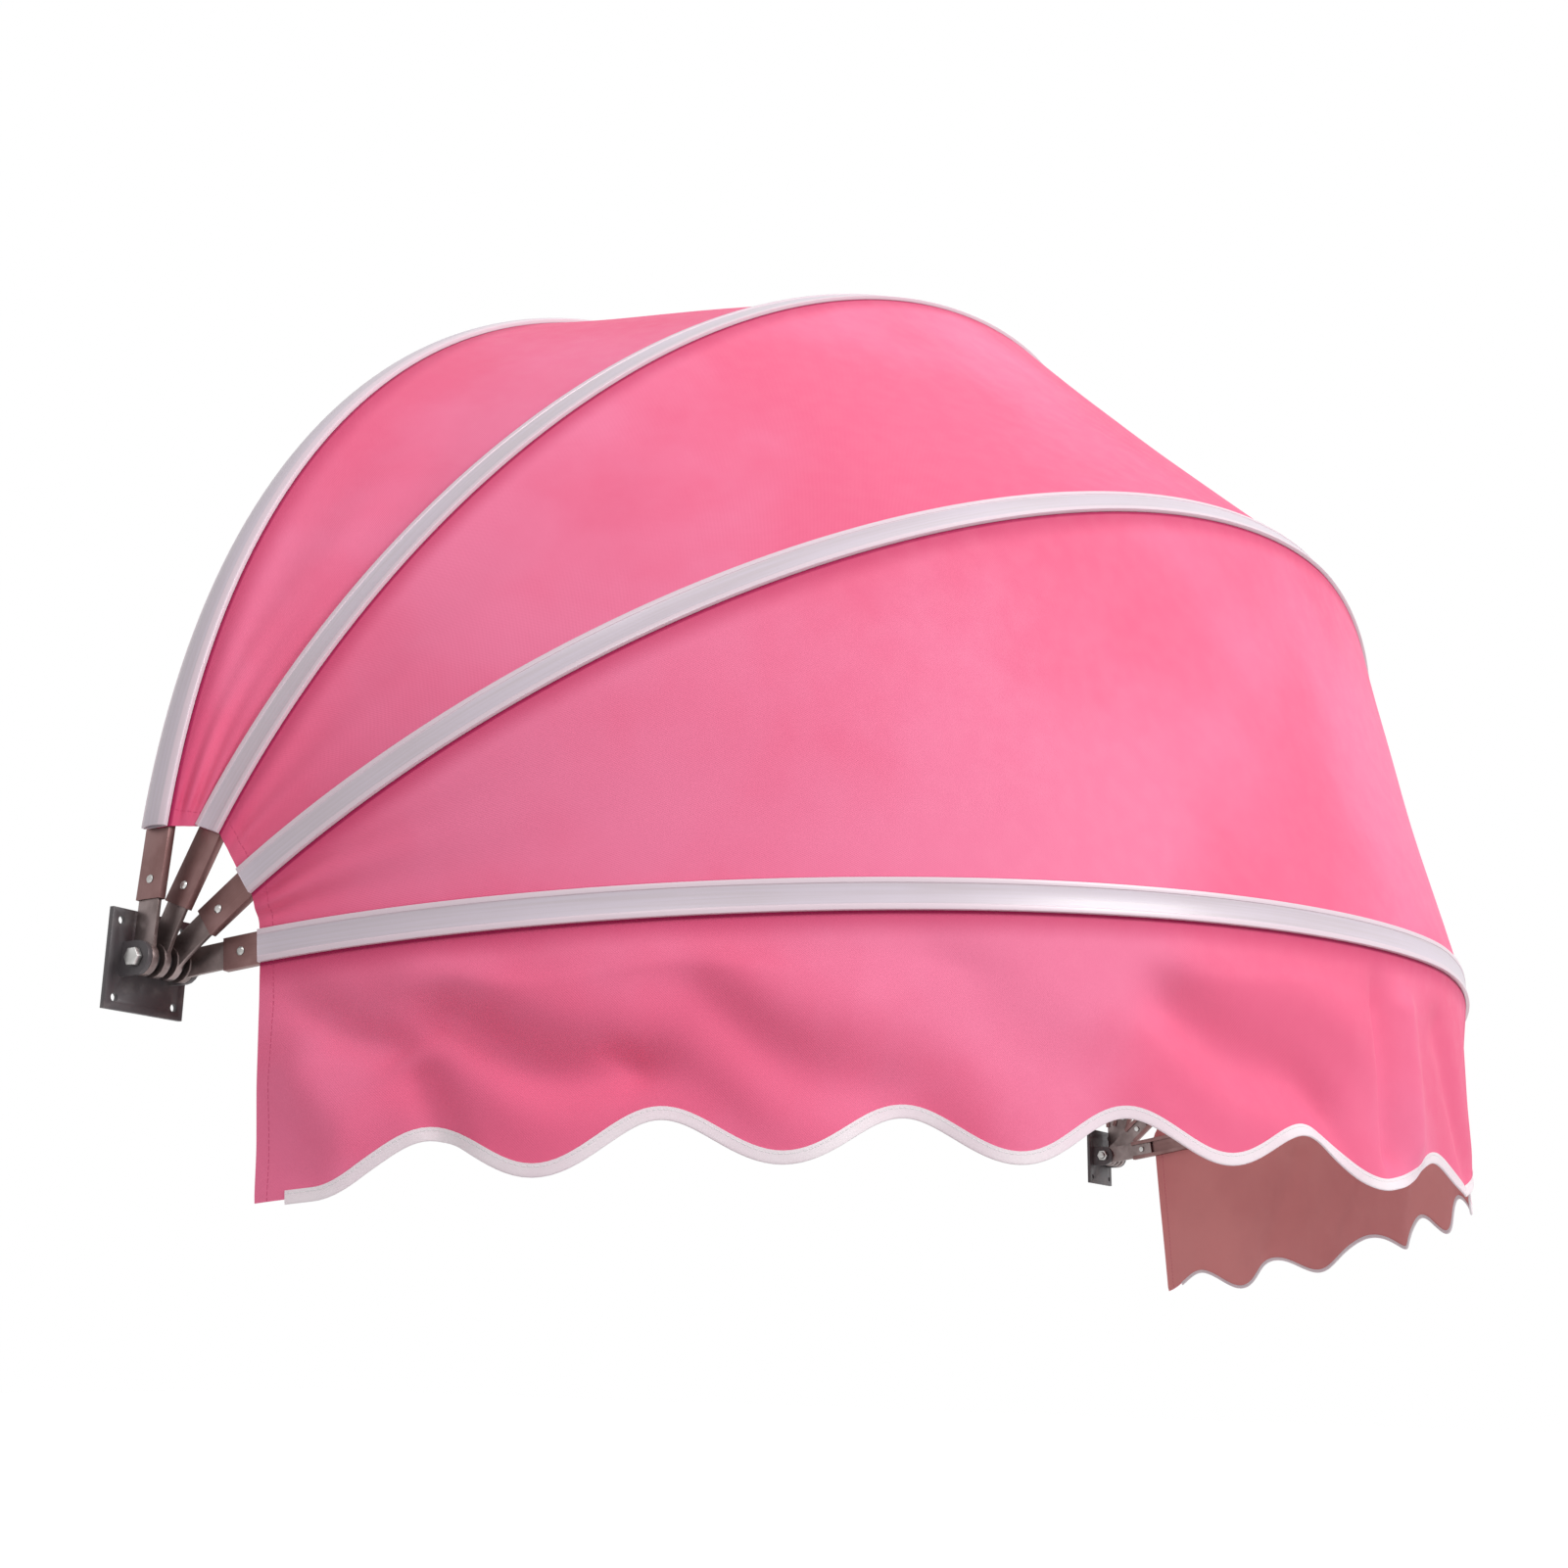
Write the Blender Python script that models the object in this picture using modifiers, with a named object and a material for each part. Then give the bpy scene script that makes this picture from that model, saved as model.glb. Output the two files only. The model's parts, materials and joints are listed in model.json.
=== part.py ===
"""Dome awning: four hinged hoops, taut fabric gores, cover strips and a scalloped valance.

X runs along the wall, Y points into the wall and Z is up. The wall is the plane Y = 0, and the
origin is the middle of the crown clip's back face. All four hoops turn on one pivot line, which
runs along X through a bolt in each wall bracket.

Each hoop is modelled in its own plane: local X along the wall, local Y away from the pivot line,
and local Z towards the next hoop. An empty on the pivot line turns it to its angle.
"""

import math
from collections import namedtuple

import bmesh
import bpy
from mathutils import Matrix, Vector

# Clearances
GAP = 0.0003                    # between pieces that touch
NESTING_CLEARANCE = 0.0019      # between one folded hoop and the next, beside the hub
BOLT_CLEARANCE = 0.0003         # radial, round a bolt, screw or rivet
SEAM_HALF_GAP = 0.0006          # from a strip's middle line to the fabric edge under it

# Form of the hoops: reach from the pivot line, angle above level, and how square the curve is
HUB_HALF_WIDTH = 0.900
WALL_BOW_REACH = 0.803
SECOND_BOW_REACH = 0.864
THIRD_BOW_REACH = 0.791
FRONT_BOW_REACH = 0.720
WALL_BOW_ANGLE = 90.0
SECOND_BOW_ANGLE = 70.0
THIRD_BOW_ANGLE = 39.0
FRONT_BOW_ANGLE = 7.0
WALL_BOW_SQUARENESS = 2.23
SECOND_BOW_SQUARENESS = 1.81
THIRD_BOW_SQUARENESS = 1.87
FRONT_BOW_SQUARENESS = 1.78
HOOP_FACETS = 33                # odd, so that one facet lies level at the crown

# Bow profile: a lipped aluminium channel, open towards the pivot line
BOW_WIDTH = 0.025
BOW_DEPTH = 0.0065
BOW_WALL = 0.0012
BOW_LIP = 0.0050
BOW_ROOT = 0.045                # distance from the pivot line to the bow's cut end

# Cover strip and fabric
STRIP_WIDTH = 0.025
STRIP_THICKNESS = 0.0022
STRIP_CHAMFER = 0.0009
FABRIC_THICKNESS = 0.0008
WALL_FABRIC_START = 0.100       # distance from the pivot line to the fabric and the strip
SECOND_FABRIC_START = 0.105
THIRD_FABRIC_START = 0.090
FRONT_FABRIC_START = 0.078
FABRIC_EDGE = 0.0010            # how far the fabric runs straight past a bow's edge
GORE_ROWS = 3                   # faces across the open span of a gore
GORE_SAG = 0.003                # how far the taut fabric dips at mid-span

# Valance and its hem
VALANCE_DROP = 0.180            # at the low point of a scallop
SCALLOP_RISE = 0.034
SCALLOP_COUNT = 13              # low points of the hem
HEM_END = 0.026                 # level stretch of the hem at each end
VALANCE_ROWS = 2
VALANCE_COLUMNS_PER_FACET = 3
VALANCE_RIPPLE = 0.007          # how far a scallop swells out at the hem
BINDING_HEIGHT = 0.009
BINDING_THICKNESS = 0.0018

# Hinge hardware
BOLT_RADIUS = 0.004
EYELET_RADIUS = 0.013
EYELET_THICKNESS = 0.006
TONGUE_WIDTH_CLEARANCE = 0.0008
TONGUE_LENGTH_IN_BOW = 0.031
TONGUE_BEND = 0.020             # distance from the pivot line to the tongue's bend
SPACER_RADIUS = 0.008
RIVET_RADIUS = 0.002
RIVET_HEAD_RADIUS = 0.0036
RIVET_CROWN_RADIUS = 0.0022     # flat top of the domed head
RIVET_HEAD_HEIGHT = 0.0012
BOLT_HEAD_RADIUS = 0.0075
BOLT_HEAD_HEIGHT = 0.0053
NUT_HEIGHT = 0.0065
BOLT_TAIL = 0.003               # bolt left past the nut

# Wall brackets
AXIS_TO_WALL = 0.020
BRACKET_PLATE = 0.004
BRACKET_HEIGHT = 0.076
BRACKET_MARGIN = 0.012          # plate left outside each ear
EAR_THICKNESS = 0.004
EAR_RADIUS = 0.013
WALL_HOLE_RADIUS = 0.0032
WALL_HOLE_INSET = 0.009

# Wall clips
CLIP_WIDTH = 0.030
CLIP_HEIGHT = 0.044
CLIP_THICKNESS = 0.003
CLIP_HOLE_SPACING = 0.022
CLIP_FACETS_FROM_END = 8        # which facet the two side clips sit on
CLIP_SHELF_SETBACK = 0.001      # shelf edge behind the bow's front edge
CLIP_SCREW_RADIUS = 0.0025
CLIP_SCREW_HEAD_RADIUS = 0.0048
CLIP_SCREW_HEAD_HEIGHT = 0.003
CLIP_NUT_LENGTH = 0.014

WELD_DISTANCE = 0.000001
ROUND_STEPS = 16
SMALL_ROUND_STEPS = 8

# Worked out from the above
BOW_TOP = STRIP_THICKNESS + 2 * GAP + FABRIC_THICKNESS
FABRIC_MIDDLE = STRIP_THICKNESS + GAP + FABRIC_THICKNESS / 2
BOW_BOTTOM = BOW_TOP + BOW_DEPTH
NESTING_STEP = BOW_BOTTOM + NESTING_CLEARANCE
TONGUE_THICKNESS = BOW_DEPTH - 2 * BOW_WALL - 2 * GAP
TONGUE_WIDTH = BOW_WIDTH - 2 * BOW_WALL - 2 * TONGUE_WIDTH_CLEARANCE
TONGUE_MIDDLE = BOW_TOP + BOW_WALL + GAP + TONGUE_THICKNESS / 2
FABRIC_TURN = max(BOW_WIDTH, STRIP_WIDTH) / 2 + FABRIC_EDGE

Hoop = namedtuple("Hoop", "name half_width reach angle squareness fabric_start")
HOOPS = tuple(
    Hoop(name, HUB_HALF_WIDTH - place * NESTING_STEP, reach, angle, squareness, start)
    for place, (name, reach, angle, squareness, start) in enumerate((
        ("wall_bow", WALL_BOW_REACH, WALL_BOW_ANGLE, WALL_BOW_SQUARENESS, WALL_FABRIC_START),
        ("bow_2", SECOND_BOW_REACH, SECOND_BOW_ANGLE, SECOND_BOW_SQUARENESS, SECOND_FABRIC_START),
        ("bow_3", THIRD_BOW_REACH, THIRD_BOW_ANGLE, THIRD_BOW_SQUARENESS, THIRD_FABRIC_START),
        ("front_bow", FRONT_BOW_REACH, FRONT_BOW_ANGLE, FRONT_BOW_SQUARENESS, FRONT_FABRIC_START),
    ))
)
SIDES = (("left", -1), ("right", 1))


# Scene and materials

def clear_scene():
    for thing in list(bpy.data.objects):
        bpy.data.objects.remove(thing)


def make_collection(name):
    collection = bpy.data.collections.new(name)
    bpy.context.scene.collection.children.link(collection)
    return collection


def material(name, colour, roughness, metallic=0.0):
    """A plain material in one colour."""
    finish = bpy.data.materials.new(name)
    finish.use_nodes = True
    shader = finish.node_tree.nodes["Principled BSDF"]
    shader.inputs["Base Color"].default_value = (*colour, 1.0)
    shader.inputs["Roughness"].default_value = roughness
    shader.inputs["Metallic"].default_value = metallic
    return finish


def node(name, mesh, finish, parent=None):
    """A finished sub-part in the awning's collection."""
    part = bpy.data.objects.new(name, mesh)
    own_finish = finish.copy()
    own_finish.name = name + "_finish"
    mesh.materials.clear()
    mesh.materials.append(own_finish)
    PARTS.objects.link(part)
    part.parent = parent
    return part


# Mesh helpers

def evaluated_mesh(thing):
    """The mesh that an object's curve or modifiers make, with its loose caps welded."""
    graph = bpy.context.evaluated_depsgraph_get()
    mesh = bpy.data.meshes.new_from_object(thing.evaluated_get(graph))
    shape = bmesh.new()
    shape.from_mesh(mesh)
    bmesh.ops.remove_doubles(shape, verts=shape.verts, dist=WELD_DISTANCE)
    shape.to_mesh(mesh)
    shape.free()
    return mesh


def guide(name, data):
    """A helper object, kept out of renders."""
    helper = bpy.data.objects.new(name, data)
    helper.hide_render = True
    helper.display_type = "WIRE"
    CUTTERS.objects.link(helper)
    return helper


def sweep(path, profile):
    """A mesh swept along a flat path. Profile points are (depth below the path, local Z)."""
    outline = bpy.data.curves.new("profile", "CURVE")
    outline.dimensions = "2D"
    outline.fill_mode = "NONE"
    ring = outline.splines.new("POLY")
    ring.points.add(len(profile) - 1)
    for point, (depth, across) in zip(ring.points, profile):
        point.co = (depth, across, 0, 1)
    ring.use_cyclic_u = True
    section = guide("profile", outline)

    rail = bpy.data.curves.new("rail", "CURVE")
    rail.dimensions = "3D"
    rail.twist_mode = "Z_UP"
    line = rail.splines.new("POLY")
    line.points.add(len(path) - 1)
    for point, place in zip(line.points, path):
        point.co = (*place, 1)
    rail.bevel_mode = "OBJECT"
    rail.bevel_object = section
    rail.use_fill_caps = True
    swept = guide("rail", rail)
    mesh = evaluated_mesh(swept)
    bpy.data.objects.remove(swept)
    bpy.data.objects.remove(section)
    return mesh


def sheet(rows, thickness):
    """A closed sheet: a grid of points, given row by row, thickened to both sides."""
    surface = bpy.data.meshes.new("sheet")
    width = len(rows[0])
    points = [point for row in rows for point in row]
    faces = [
        (row * width + column, row * width + column + 1,
         (row + 1) * width + column + 1, (row + 1) * width + column)
        for row in range(len(rows) - 1)
        for column in range(width - 1)
    ]
    surface.from_pydata(points, [], faces)
    thing = guide("sheet", surface)
    wall = thing.modifiers.new("wall", "SOLIDIFY")
    wall.thickness = thickness
    wall.offset = 0.0
    wall.use_even_offset = True
    mesh = evaluated_mesh(thing)
    bpy.data.objects.remove(thing)
    return mesh


def turned(profile, steps):
    """A mesh turned about local Z from (radius, height) points, listed from top to bottom."""
    line = bpy.data.meshes.new("profile")
    edges = [(number, number + 1) for number in range(len(profile) - 1)]
    line.from_pydata([(radius, 0, height) for radius, height in profile], edges, [])
    thing = guide("turned", line)
    screw = thing.modifiers.new("turn", "SCREW")
    screw.steps = steps
    screw.render_steps = steps
    screw.use_merge_vertices = True
    screw.merge_threshold = WELD_DISTANCE
    mesh = evaluated_mesh(thing)
    bpy.data.objects.remove(thing)
    return mesh


def box(size, centre):
    """A box mesh by its size and centre."""
    shape = bmesh.new()
    matrix = Matrix.Translation(centre) @ Matrix.Diagonal((*size, 1))
    bmesh.ops.create_cube(shape, size=1.0, matrix=matrix)
    return from_bmesh(shape)


def prism(radius, height, centre, direction, sides):
    """A cylinder or a hexagon mesh, centred on a point along a direction."""
    shape = bmesh.new()
    turn = Vector((0, 0, 1)).rotation_difference(Vector(direction)).to_matrix().to_4x4()
    bmesh.ops.create_cone(
        shape, cap_ends=True, segments=sides, radius1=radius, radius2=radius,
        depth=height, matrix=Matrix.Translation(centre) @ turn,
    )
    return from_bmesh(shape)


def from_bmesh(shape):
    mesh = bpy.data.meshes.new("shape")
    shape.to_mesh(mesh)
    shape.free()
    return mesh


def boolean(mesh, others, operation):
    """A mesh joined with, or cut by, other meshes."""
    thing = guide("body", mesh)
    tools = []
    for other in others:
        tool = guide("tool", other)
        cut = thing.modifiers.new("cut", "BOOLEAN")
        cut.operation = operation
        cut.solver = "EXACT"
        cut.object = tool
        tools.append(tool)
    result = evaluated_mesh(thing)
    for helper in [thing, *tools]:
        bpy.data.objects.remove(helper)
    return result


def moved(mesh, matrix):
    """A moved copy of a mesh."""
    copy = mesh.copy()
    copy.transform(matrix)
    return copy


def shade_smooth(mesh, sharp_degrees=30):
    mesh.shade_smooth()
    mesh.set_sharp_from_angle(angle=math.radians(sharp_degrees))


# Hoop geometry

def angle_at(hoop, radius):
    """The curve's own angle where it is this far from the pivot line."""
    return math.asin((radius / hoop.reach) ** (hoop.squareness / 2))


def curve_point(hoop, angle):
    """A point on the hoop's outer line, in its own plane, from left (0) to right (pi)."""
    power = 2 / hoop.squareness
    across = -math.copysign(abs(math.cos(angle)) ** power, math.cos(angle))
    return Vector((hoop.half_width * across, hoop.reach * math.sin(angle) ** power, 0))


def cover_points(hoop):
    """The hoop's outer line, from where the fabric starts on the left to the right."""
    first = angle_at(hoop, hoop.fabric_start)
    step = (math.pi - 2 * first) / HOOP_FACETS
    return [curve_point(hoop, first + number * step) for number in range(HOOP_FACETS + 1)]


def bow_points(hoop):
    """The same line, longer by the bare end of the bow at each side."""
    root = angle_at(hoop, BOW_ROOT)
    ends = [curve_point(hoop, root), curve_point(hoop, math.pi - root)]
    return [ends[0], *cover_points(hoop), ends[1]]


def inward_normals(points):
    """The direction towards the pivot line at each point of a flat line."""
    normals = []
    for number in range(len(points)):
        before = points[max(number - 1, 0)]
        here = points[number]
        after = points[min(number + 1, len(points) - 1)]
        along = (here - before).normalized() + (after - here).normalized()
        normals.append(Vector((along.y, -along.x, 0)).normalized())
    return normals


def facet_frame(hoop, facet):
    """Middle, direction along and inward normal of one facet of the hoop."""
    points = cover_points(hoop)
    along = (points[facet + 1] - points[facet]).normalized()
    middle = (points[facet + 1] + points[facet]) / 2
    return middle, along, Vector((along.y, -along.x, 0))


def clip_back_centre(facet):
    """The middle of a clip's leg, in the wall bow's plane."""
    middle, _, inward = facet_frame(HOOPS[0], facet)
    return middle + inward * (BOW_BOTTOM + GAP + CLIP_HEIGHT / 2)


CROWN_FACET = HOOP_FACETS // 2
AXIS = Vector((0, -AXIS_TO_WALL, -clip_back_centre(CROWN_FACET).y))


def hoop_matrix(hoop):
    """From a hoop's own plane to the awning's frame."""
    turn = Matrix.Rotation(math.pi - math.radians(hoop.angle), 4, "X")
    return Matrix.Translation(AXIS) @ turn


def hoop_hinge(hoop):
    """The empty on the pivot line that carries a hoop's own pieces."""
    pivot = bpy.data.objects.new(hoop.name + "_pivot", None)
    pivot.location = AXIS
    pivot.rotation_euler.x = math.pi - math.radians(hoop.angle)
    PARTS.objects.link(pivot)
    return pivot


def hub_x(hoop):
    """Where the middle of a hoop's end fitting sits on the pivot line."""
    return hoop.half_width - TONGUE_MIDDLE


# Bows and cover strips

def channel_profile():
    """The lipped channel, as (depth, across) points."""
    half = BOW_WIDTH / 2
    top, bottom = BOW_TOP, BOW_BOTTOM
    return [
        (top, -half), (top, half), (bottom, half), (bottom, half - BOW_LIP),
        (bottom - BOW_WALL, half - BOW_LIP), (bottom - BOW_WALL, half - BOW_WALL),
        (top + BOW_WALL, half - BOW_WALL), (top + BOW_WALL, BOW_WALL - half),
        (bottom - BOW_WALL, BOW_WALL - half), (bottom - BOW_WALL, BOW_LIP - half),
        (bottom, BOW_LIP - half), (bottom, -half),
    ]


def strip_profile():
    """The cover strip, flat underneath with chamfered outer edges."""
    half = STRIP_WIDTH / 2
    return [
        (0, STRIP_CHAMFER - half), (0, half - STRIP_CHAMFER), (STRIP_CHAMFER, half),
        (STRIP_THICKNESS, half), (STRIP_THICKNESS, -half), (STRIP_CHAMFER, -half),
    ]


def end_line(hoop, side):
    """Start and direction of the straight end of a bow, at its outer line."""
    points = bow_points(hoop)
    start, after = (points[0], points[1]) if side < 0 else (points[-1], points[-2])
    along = (after - start).normalized()
    return start, along, Vector((-side * along.y, side * along.x, 0))


def rivet_place(hoop, side):
    """The rivet's point on the bow's outer line, and the inward direction there."""
    start, along, inward = end_line(hoop, side)
    return start + along * (TONGUE_LENGTH_IN_BOW / 2), inward


def rivet_hole(hoop, side):
    """The cutter for a rivet hole."""
    place, inward = rivet_place(hoop, side)
    centre = place + inward * TONGUE_MIDDLE
    return prism(RIVET_RADIUS + BOLT_CLEARANCE, 2 * BOW_DEPTH, centre, inward, SMALL_ROUND_STEPS)


def make_bow(hoop, pivot):
    bow = sweep(bow_points(hoop), channel_profile())
    bow = boolean(bow, [rivet_hole(hoop, side) for _, side in SIDES], "DIFFERENCE")
    shade_smooth(bow)
    node(hoop.name, bow, ALUMINIUM, pivot)


def make_strip(hoop, pivot):
    strip = sweep(cover_points(hoop), strip_profile())
    shade_smooth(strip)
    node(hoop.name + "_cover_strip", strip, WHITE_PLASTIC, pivot)


# End fittings, rivets and pivots

def make_end_fitting(hoop, pivot, word, side):
    """A flat tongue in the bow's end with an eyelet on the pivot bolt."""
    start, along, inward = end_line(hoop, side)
    hub = Vector((side * hub_x(hoop), 0, 0))
    path = [
        hub,
        hub + Vector((0, TONGUE_BEND, 0)),
        start + inward * TONGUE_MIDDLE,
        start + inward * TONGUE_MIDDLE + along * TONGUE_LENGTH_IN_BOW,
    ]
    half, edge = TONGUE_THICKNESS / 2, TONGUE_WIDTH / 2
    tongue = sweep(path, [(-half, -edge), (-half, edge), (half, edge), (half, -edge)])
    eyelet = prism(EYELET_RADIUS, EYELET_THICKNESS, hub, (1, 0, 0), ROUND_STEPS)
    bore = prism(BOLT_RADIUS + BOLT_CLEARANCE, 2 * EYELET_THICKNESS, hub, (1, 0, 0), ROUND_STEPS)
    fitting = boolean(tongue, [eyelet], "UNION")
    fitting = boolean(fitting, [bore, rivet_hole(hoop, side)], "DIFFERENCE")
    shade_smooth(fitting)
    node(f"{hoop.name}_end_{word}", fitting, ZINC, pivot)


def make_rivets(hoop, pivot):
    """One rivet at each end of a bow, through its wall and the tongue."""
    top = BOW_TOP - GAP
    bottom = TONGUE_MIDDLE + TONGUE_THICKNESS / 2 + GAP
    profile = [
        (0, -top + RIVET_HEAD_HEIGHT), (RIVET_CROWN_RADIUS, -top + RIVET_HEAD_HEIGHT),
        (RIVET_HEAD_RADIUS, -top), (RIVET_RADIUS, -top), (RIVET_RADIUS, -bottom),
        (RIVET_HEAD_RADIUS, -bottom), (RIVET_HEAD_RADIUS, -bottom - RIVET_HEAD_HEIGHT),
        (0, -bottom - RIVET_HEAD_HEIGHT),
    ]
    rivet = turned(profile, SMALL_ROUND_STEPS)
    shade_smooth(rivet)
    for word, side in SIDES:
        place, inward = rivet_place(hoop, side)
        turn = Vector((0, 0, 1)).rotation_difference(-inward).to_matrix().to_4x4()
        placed = moved(rivet, Matrix.Translation(place) @ turn)
        node(f"{hoop.name}_rivet_{word}", placed, ZINC, pivot)


def ear_span():
    """Inner and outer X of the two ears' inside faces, on the right-hand side."""
    reach = EYELET_THICKNESS / 2 + GAP
    return hub_x(HOOPS[-1]) - reach, hub_x(HOOPS[0]) + reach


def make_spacers(word, side):
    """The rings on the pivot bolt between neighbouring eyelets."""
    length = NESTING_STEP - EYELET_THICKNESS - 2 * GAP
    bore = BOLT_RADIUS + BOLT_CLEARANCE
    profile = [
        (bore, length / 2), (SPACER_RADIUS, length / 2), (SPACER_RADIUS, -length / 2),
        (bore, -length / 2), (bore, length / 2),
    ]
    ring = turned(profile, ROUND_STEPS)
    shade_smooth(ring)
    across = Matrix.Rotation(math.pi / 2, 4, "Y")
    for number, (outer, inner) in enumerate(zip(HOOPS, HOOPS[1:]), start=1):
        centre = AXIS + Vector((side * (hub_x(outer) + hub_x(inner)) / 2, 0, 0))
        placed = moved(ring, Matrix.Translation(centre) @ across)
        node(f"pivot_spacer_{word}_{number}", placed, BLACK_PLASTIC)


def make_bolt_and_nut(word, side):
    """The hinge bolt, with its head outside, and the nut on its inner end."""
    inner, outer = ear_span()
    head_face = outer + EAR_THICKNESS + GAP
    nut_face = inner - EAR_THICKNESS - GAP
    tail = nut_face - NUT_HEIGHT - BOLT_TAIL
    across = Vector((side, 0, 0))
    shank_centre = AXIS + across * (head_face + BOLT_HEAD_HEIGHT / 2 + tail) / 2
    shank = prism(BOLT_RADIUS, head_face + BOLT_HEAD_HEIGHT / 2 - tail, shank_centre,
                  (1, 0, 0), ROUND_STEPS)
    head_centre = AXIS + across * (head_face + BOLT_HEAD_HEIGHT / 2)
    head = prism(BOLT_HEAD_RADIUS, BOLT_HEAD_HEIGHT, head_centre, (1, 0, 0), 6)
    bolt = boolean(head, [shank], "UNION")
    shade_smooth(bolt)
    node("pivot_bolt_" + word, bolt, ZINC)

    nut_centre = AXIS + across * (nut_face - NUT_HEIGHT / 2)
    nut = prism(BOLT_HEAD_RADIUS, NUT_HEIGHT, nut_centre, (1, 0, 0), 6)
    thread = prism(BOLT_RADIUS + BOLT_CLEARANCE, 2 * NUT_HEIGHT, nut_centre, (1, 0, 0), ROUND_STEPS)
    nut = boolean(nut, [thread], "DIFFERENCE")
    shade_smooth(nut)
    node("pivot_nut_" + word, nut, ZINC)


# Wall brackets and clips

def make_bracket(word, side):
    """A wall plate with two round-ended ears that hold the pivot bolt."""
    inner, outer = ear_span()
    low, high = inner - EAR_THICKNESS - BRACKET_MARGIN, outer + EAR_THICKNESS + BRACKET_MARGIN
    middle = Vector((side * (low + high) / 2, -BRACKET_PLATE / 2, AXIS.z))
    plate = box((high - low, BRACKET_PLATE, BRACKET_HEIGHT), middle)
    pieces = []
    for face in (inner - EAR_THICKNESS / 2, outer + EAR_THICKNESS / 2):
        reach = AXIS_TO_WALL - BRACKET_PLATE / 2
        stem = (EAR_THICKNESS, reach, 2 * EAR_RADIUS)
        pieces.append(box(stem, (side * face, -AXIS_TO_WALL + reach / 2, AXIS.z)))
        pieces.append(prism(EAR_RADIUS, EAR_THICKNESS, (side * face, AXIS.y, AXIS.z),
                            (1, 0, 0), ROUND_STEPS))
    bracket = boolean(plate, pieces, "UNION")
    bore = prism(BOLT_RADIUS + BOLT_CLEARANCE, 2 * (high - low),
                 (side * (low + high) / 2, AXIS.y, AXIS.z), (1, 0, 0), ROUND_STEPS)
    holes = [
        prism(WALL_HOLE_RADIUS, 4 * BRACKET_PLATE,
              (middle.x + along * ((high - low) / 2 - WALL_HOLE_INSET), 0,
               AXIS.z + up * (BRACKET_HEIGHT / 2 - WALL_HOLE_INSET)), (0, 1, 0), ROUND_STEPS)
        for along in (-1, 1) for up in (-1, 1)
    ]
    bracket = boolean(bracket, [bore, *holes], "DIFFERENCE")
    shade_smooth(bracket)
    node("wall_bracket_" + word, bracket, DARK_STEEL)


def clip_matrix(facet):
    """From a clip's own frame to the wall bow's plane: X along the bow, Y outward."""
    middle, along, inward = facet_frame(HOOPS[0], facet)
    turn = Matrix((along, -inward, Vector((0, 0, 1)))).transposed().to_4x4()
    return Matrix.Translation(middle + inward * (BOW_BOTTOM + GAP)) @ turn


def make_clip(word, facet, pivot):
    """An angle clip: a leg on the wall and a shelf under the wall bow."""
    front = BOW_WIDTH / 2 - CLIP_SHELF_SETBACK
    depth = front + AXIS_TO_WALL
    leg = box((CLIP_WIDTH, CLIP_HEIGHT, CLIP_THICKNESS),
              (0, -CLIP_HEIGHT / 2, -AXIS_TO_WALL + CLIP_THICKNESS / 2))
    shelf = box((CLIP_WIDTH, CLIP_THICKNESS, depth),
                (0, -CLIP_THICKNESS / 2, front - depth / 2))
    clip = boolean(leg, [shelf], "UNION")
    holes = [
        prism(WALL_HOLE_RADIUS, 4 * CLIP_THICKNESS,
              (0, -CLIP_HEIGHT / 2 + up * CLIP_HOLE_SPACING / 2, -AXIS_TO_WALL),
              (0, 0, 1), ROUND_STEPS)
        for up in (-1, 1)
    ]
    holes.append(prism(CLIP_SCREW_RADIUS + BOLT_CLEARANCE, 4 * CLIP_THICKNESS,
                       (0, 0, 0), (0, 1, 0), ROUND_STEPS))
    clip = boolean(clip, holes, "DIFFERENCE")
    shade_smooth(clip)
    node("wall_clip_" + word, moved(clip, clip_matrix(facet)), DARK_STEEL, pivot)


def make_clip_fasteners(word, facet, pivot):
    """A screw up through a clip's shelf, and the slide nut behind the bow's lips."""
    nut_low = GAP + BOW_WALL + GAP
    nut_high = nut_low + TONGUE_THICKNESS
    head_top = -CLIP_THICKNESS - GAP
    profile = [
        (0, nut_high), (CLIP_SCREW_RADIUS, nut_high), (CLIP_SCREW_RADIUS, head_top),
        (CLIP_SCREW_HEAD_RADIUS, head_top),
        (CLIP_SCREW_HEAD_RADIUS, head_top - CLIP_SCREW_HEAD_HEIGHT),
        (0, head_top - CLIP_SCREW_HEAD_HEIGHT),
    ]
    upright = Matrix.Rotation(-math.pi / 2, 4, "X")
    screw = moved(turned(profile, SMALL_ROUND_STEPS), upright)
    nut = box((CLIP_NUT_LENGTH, TONGUE_THICKNESS, TONGUE_WIDTH),
              (0, (nut_low + nut_high) / 2, 0))
    thread = prism(CLIP_SCREW_RADIUS + BOLT_CLEARANCE, 4 * TONGUE_THICKNESS,
                   (0, (nut_low + nut_high) / 2, 0), (0, 1, 0), SMALL_ROUND_STEPS)
    nut = boolean(nut, [thread], "DIFFERENCE")
    shade_smooth(screw)
    shade_smooth(nut)
    node("clip_screw_" + word, moved(screw, clip_matrix(facet)), ZINC, pivot)
    node("clip_nut_" + word, moved(nut, clip_matrix(facet)), ZINC, pivot)


# Fabric

def fabric_line(hoop, across):
    """The fabric's middle surface on a bow, at a distance across from its middle line."""
    points = cover_points(hoop)
    normals = inward_normals(points)
    place = hoop_matrix(hoop)
    return [
        place @ (point + normal * FABRIC_MIDDLE + Vector((0, 0, across)))
        for point, normal in zip(points, normals)
    ]


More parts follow.
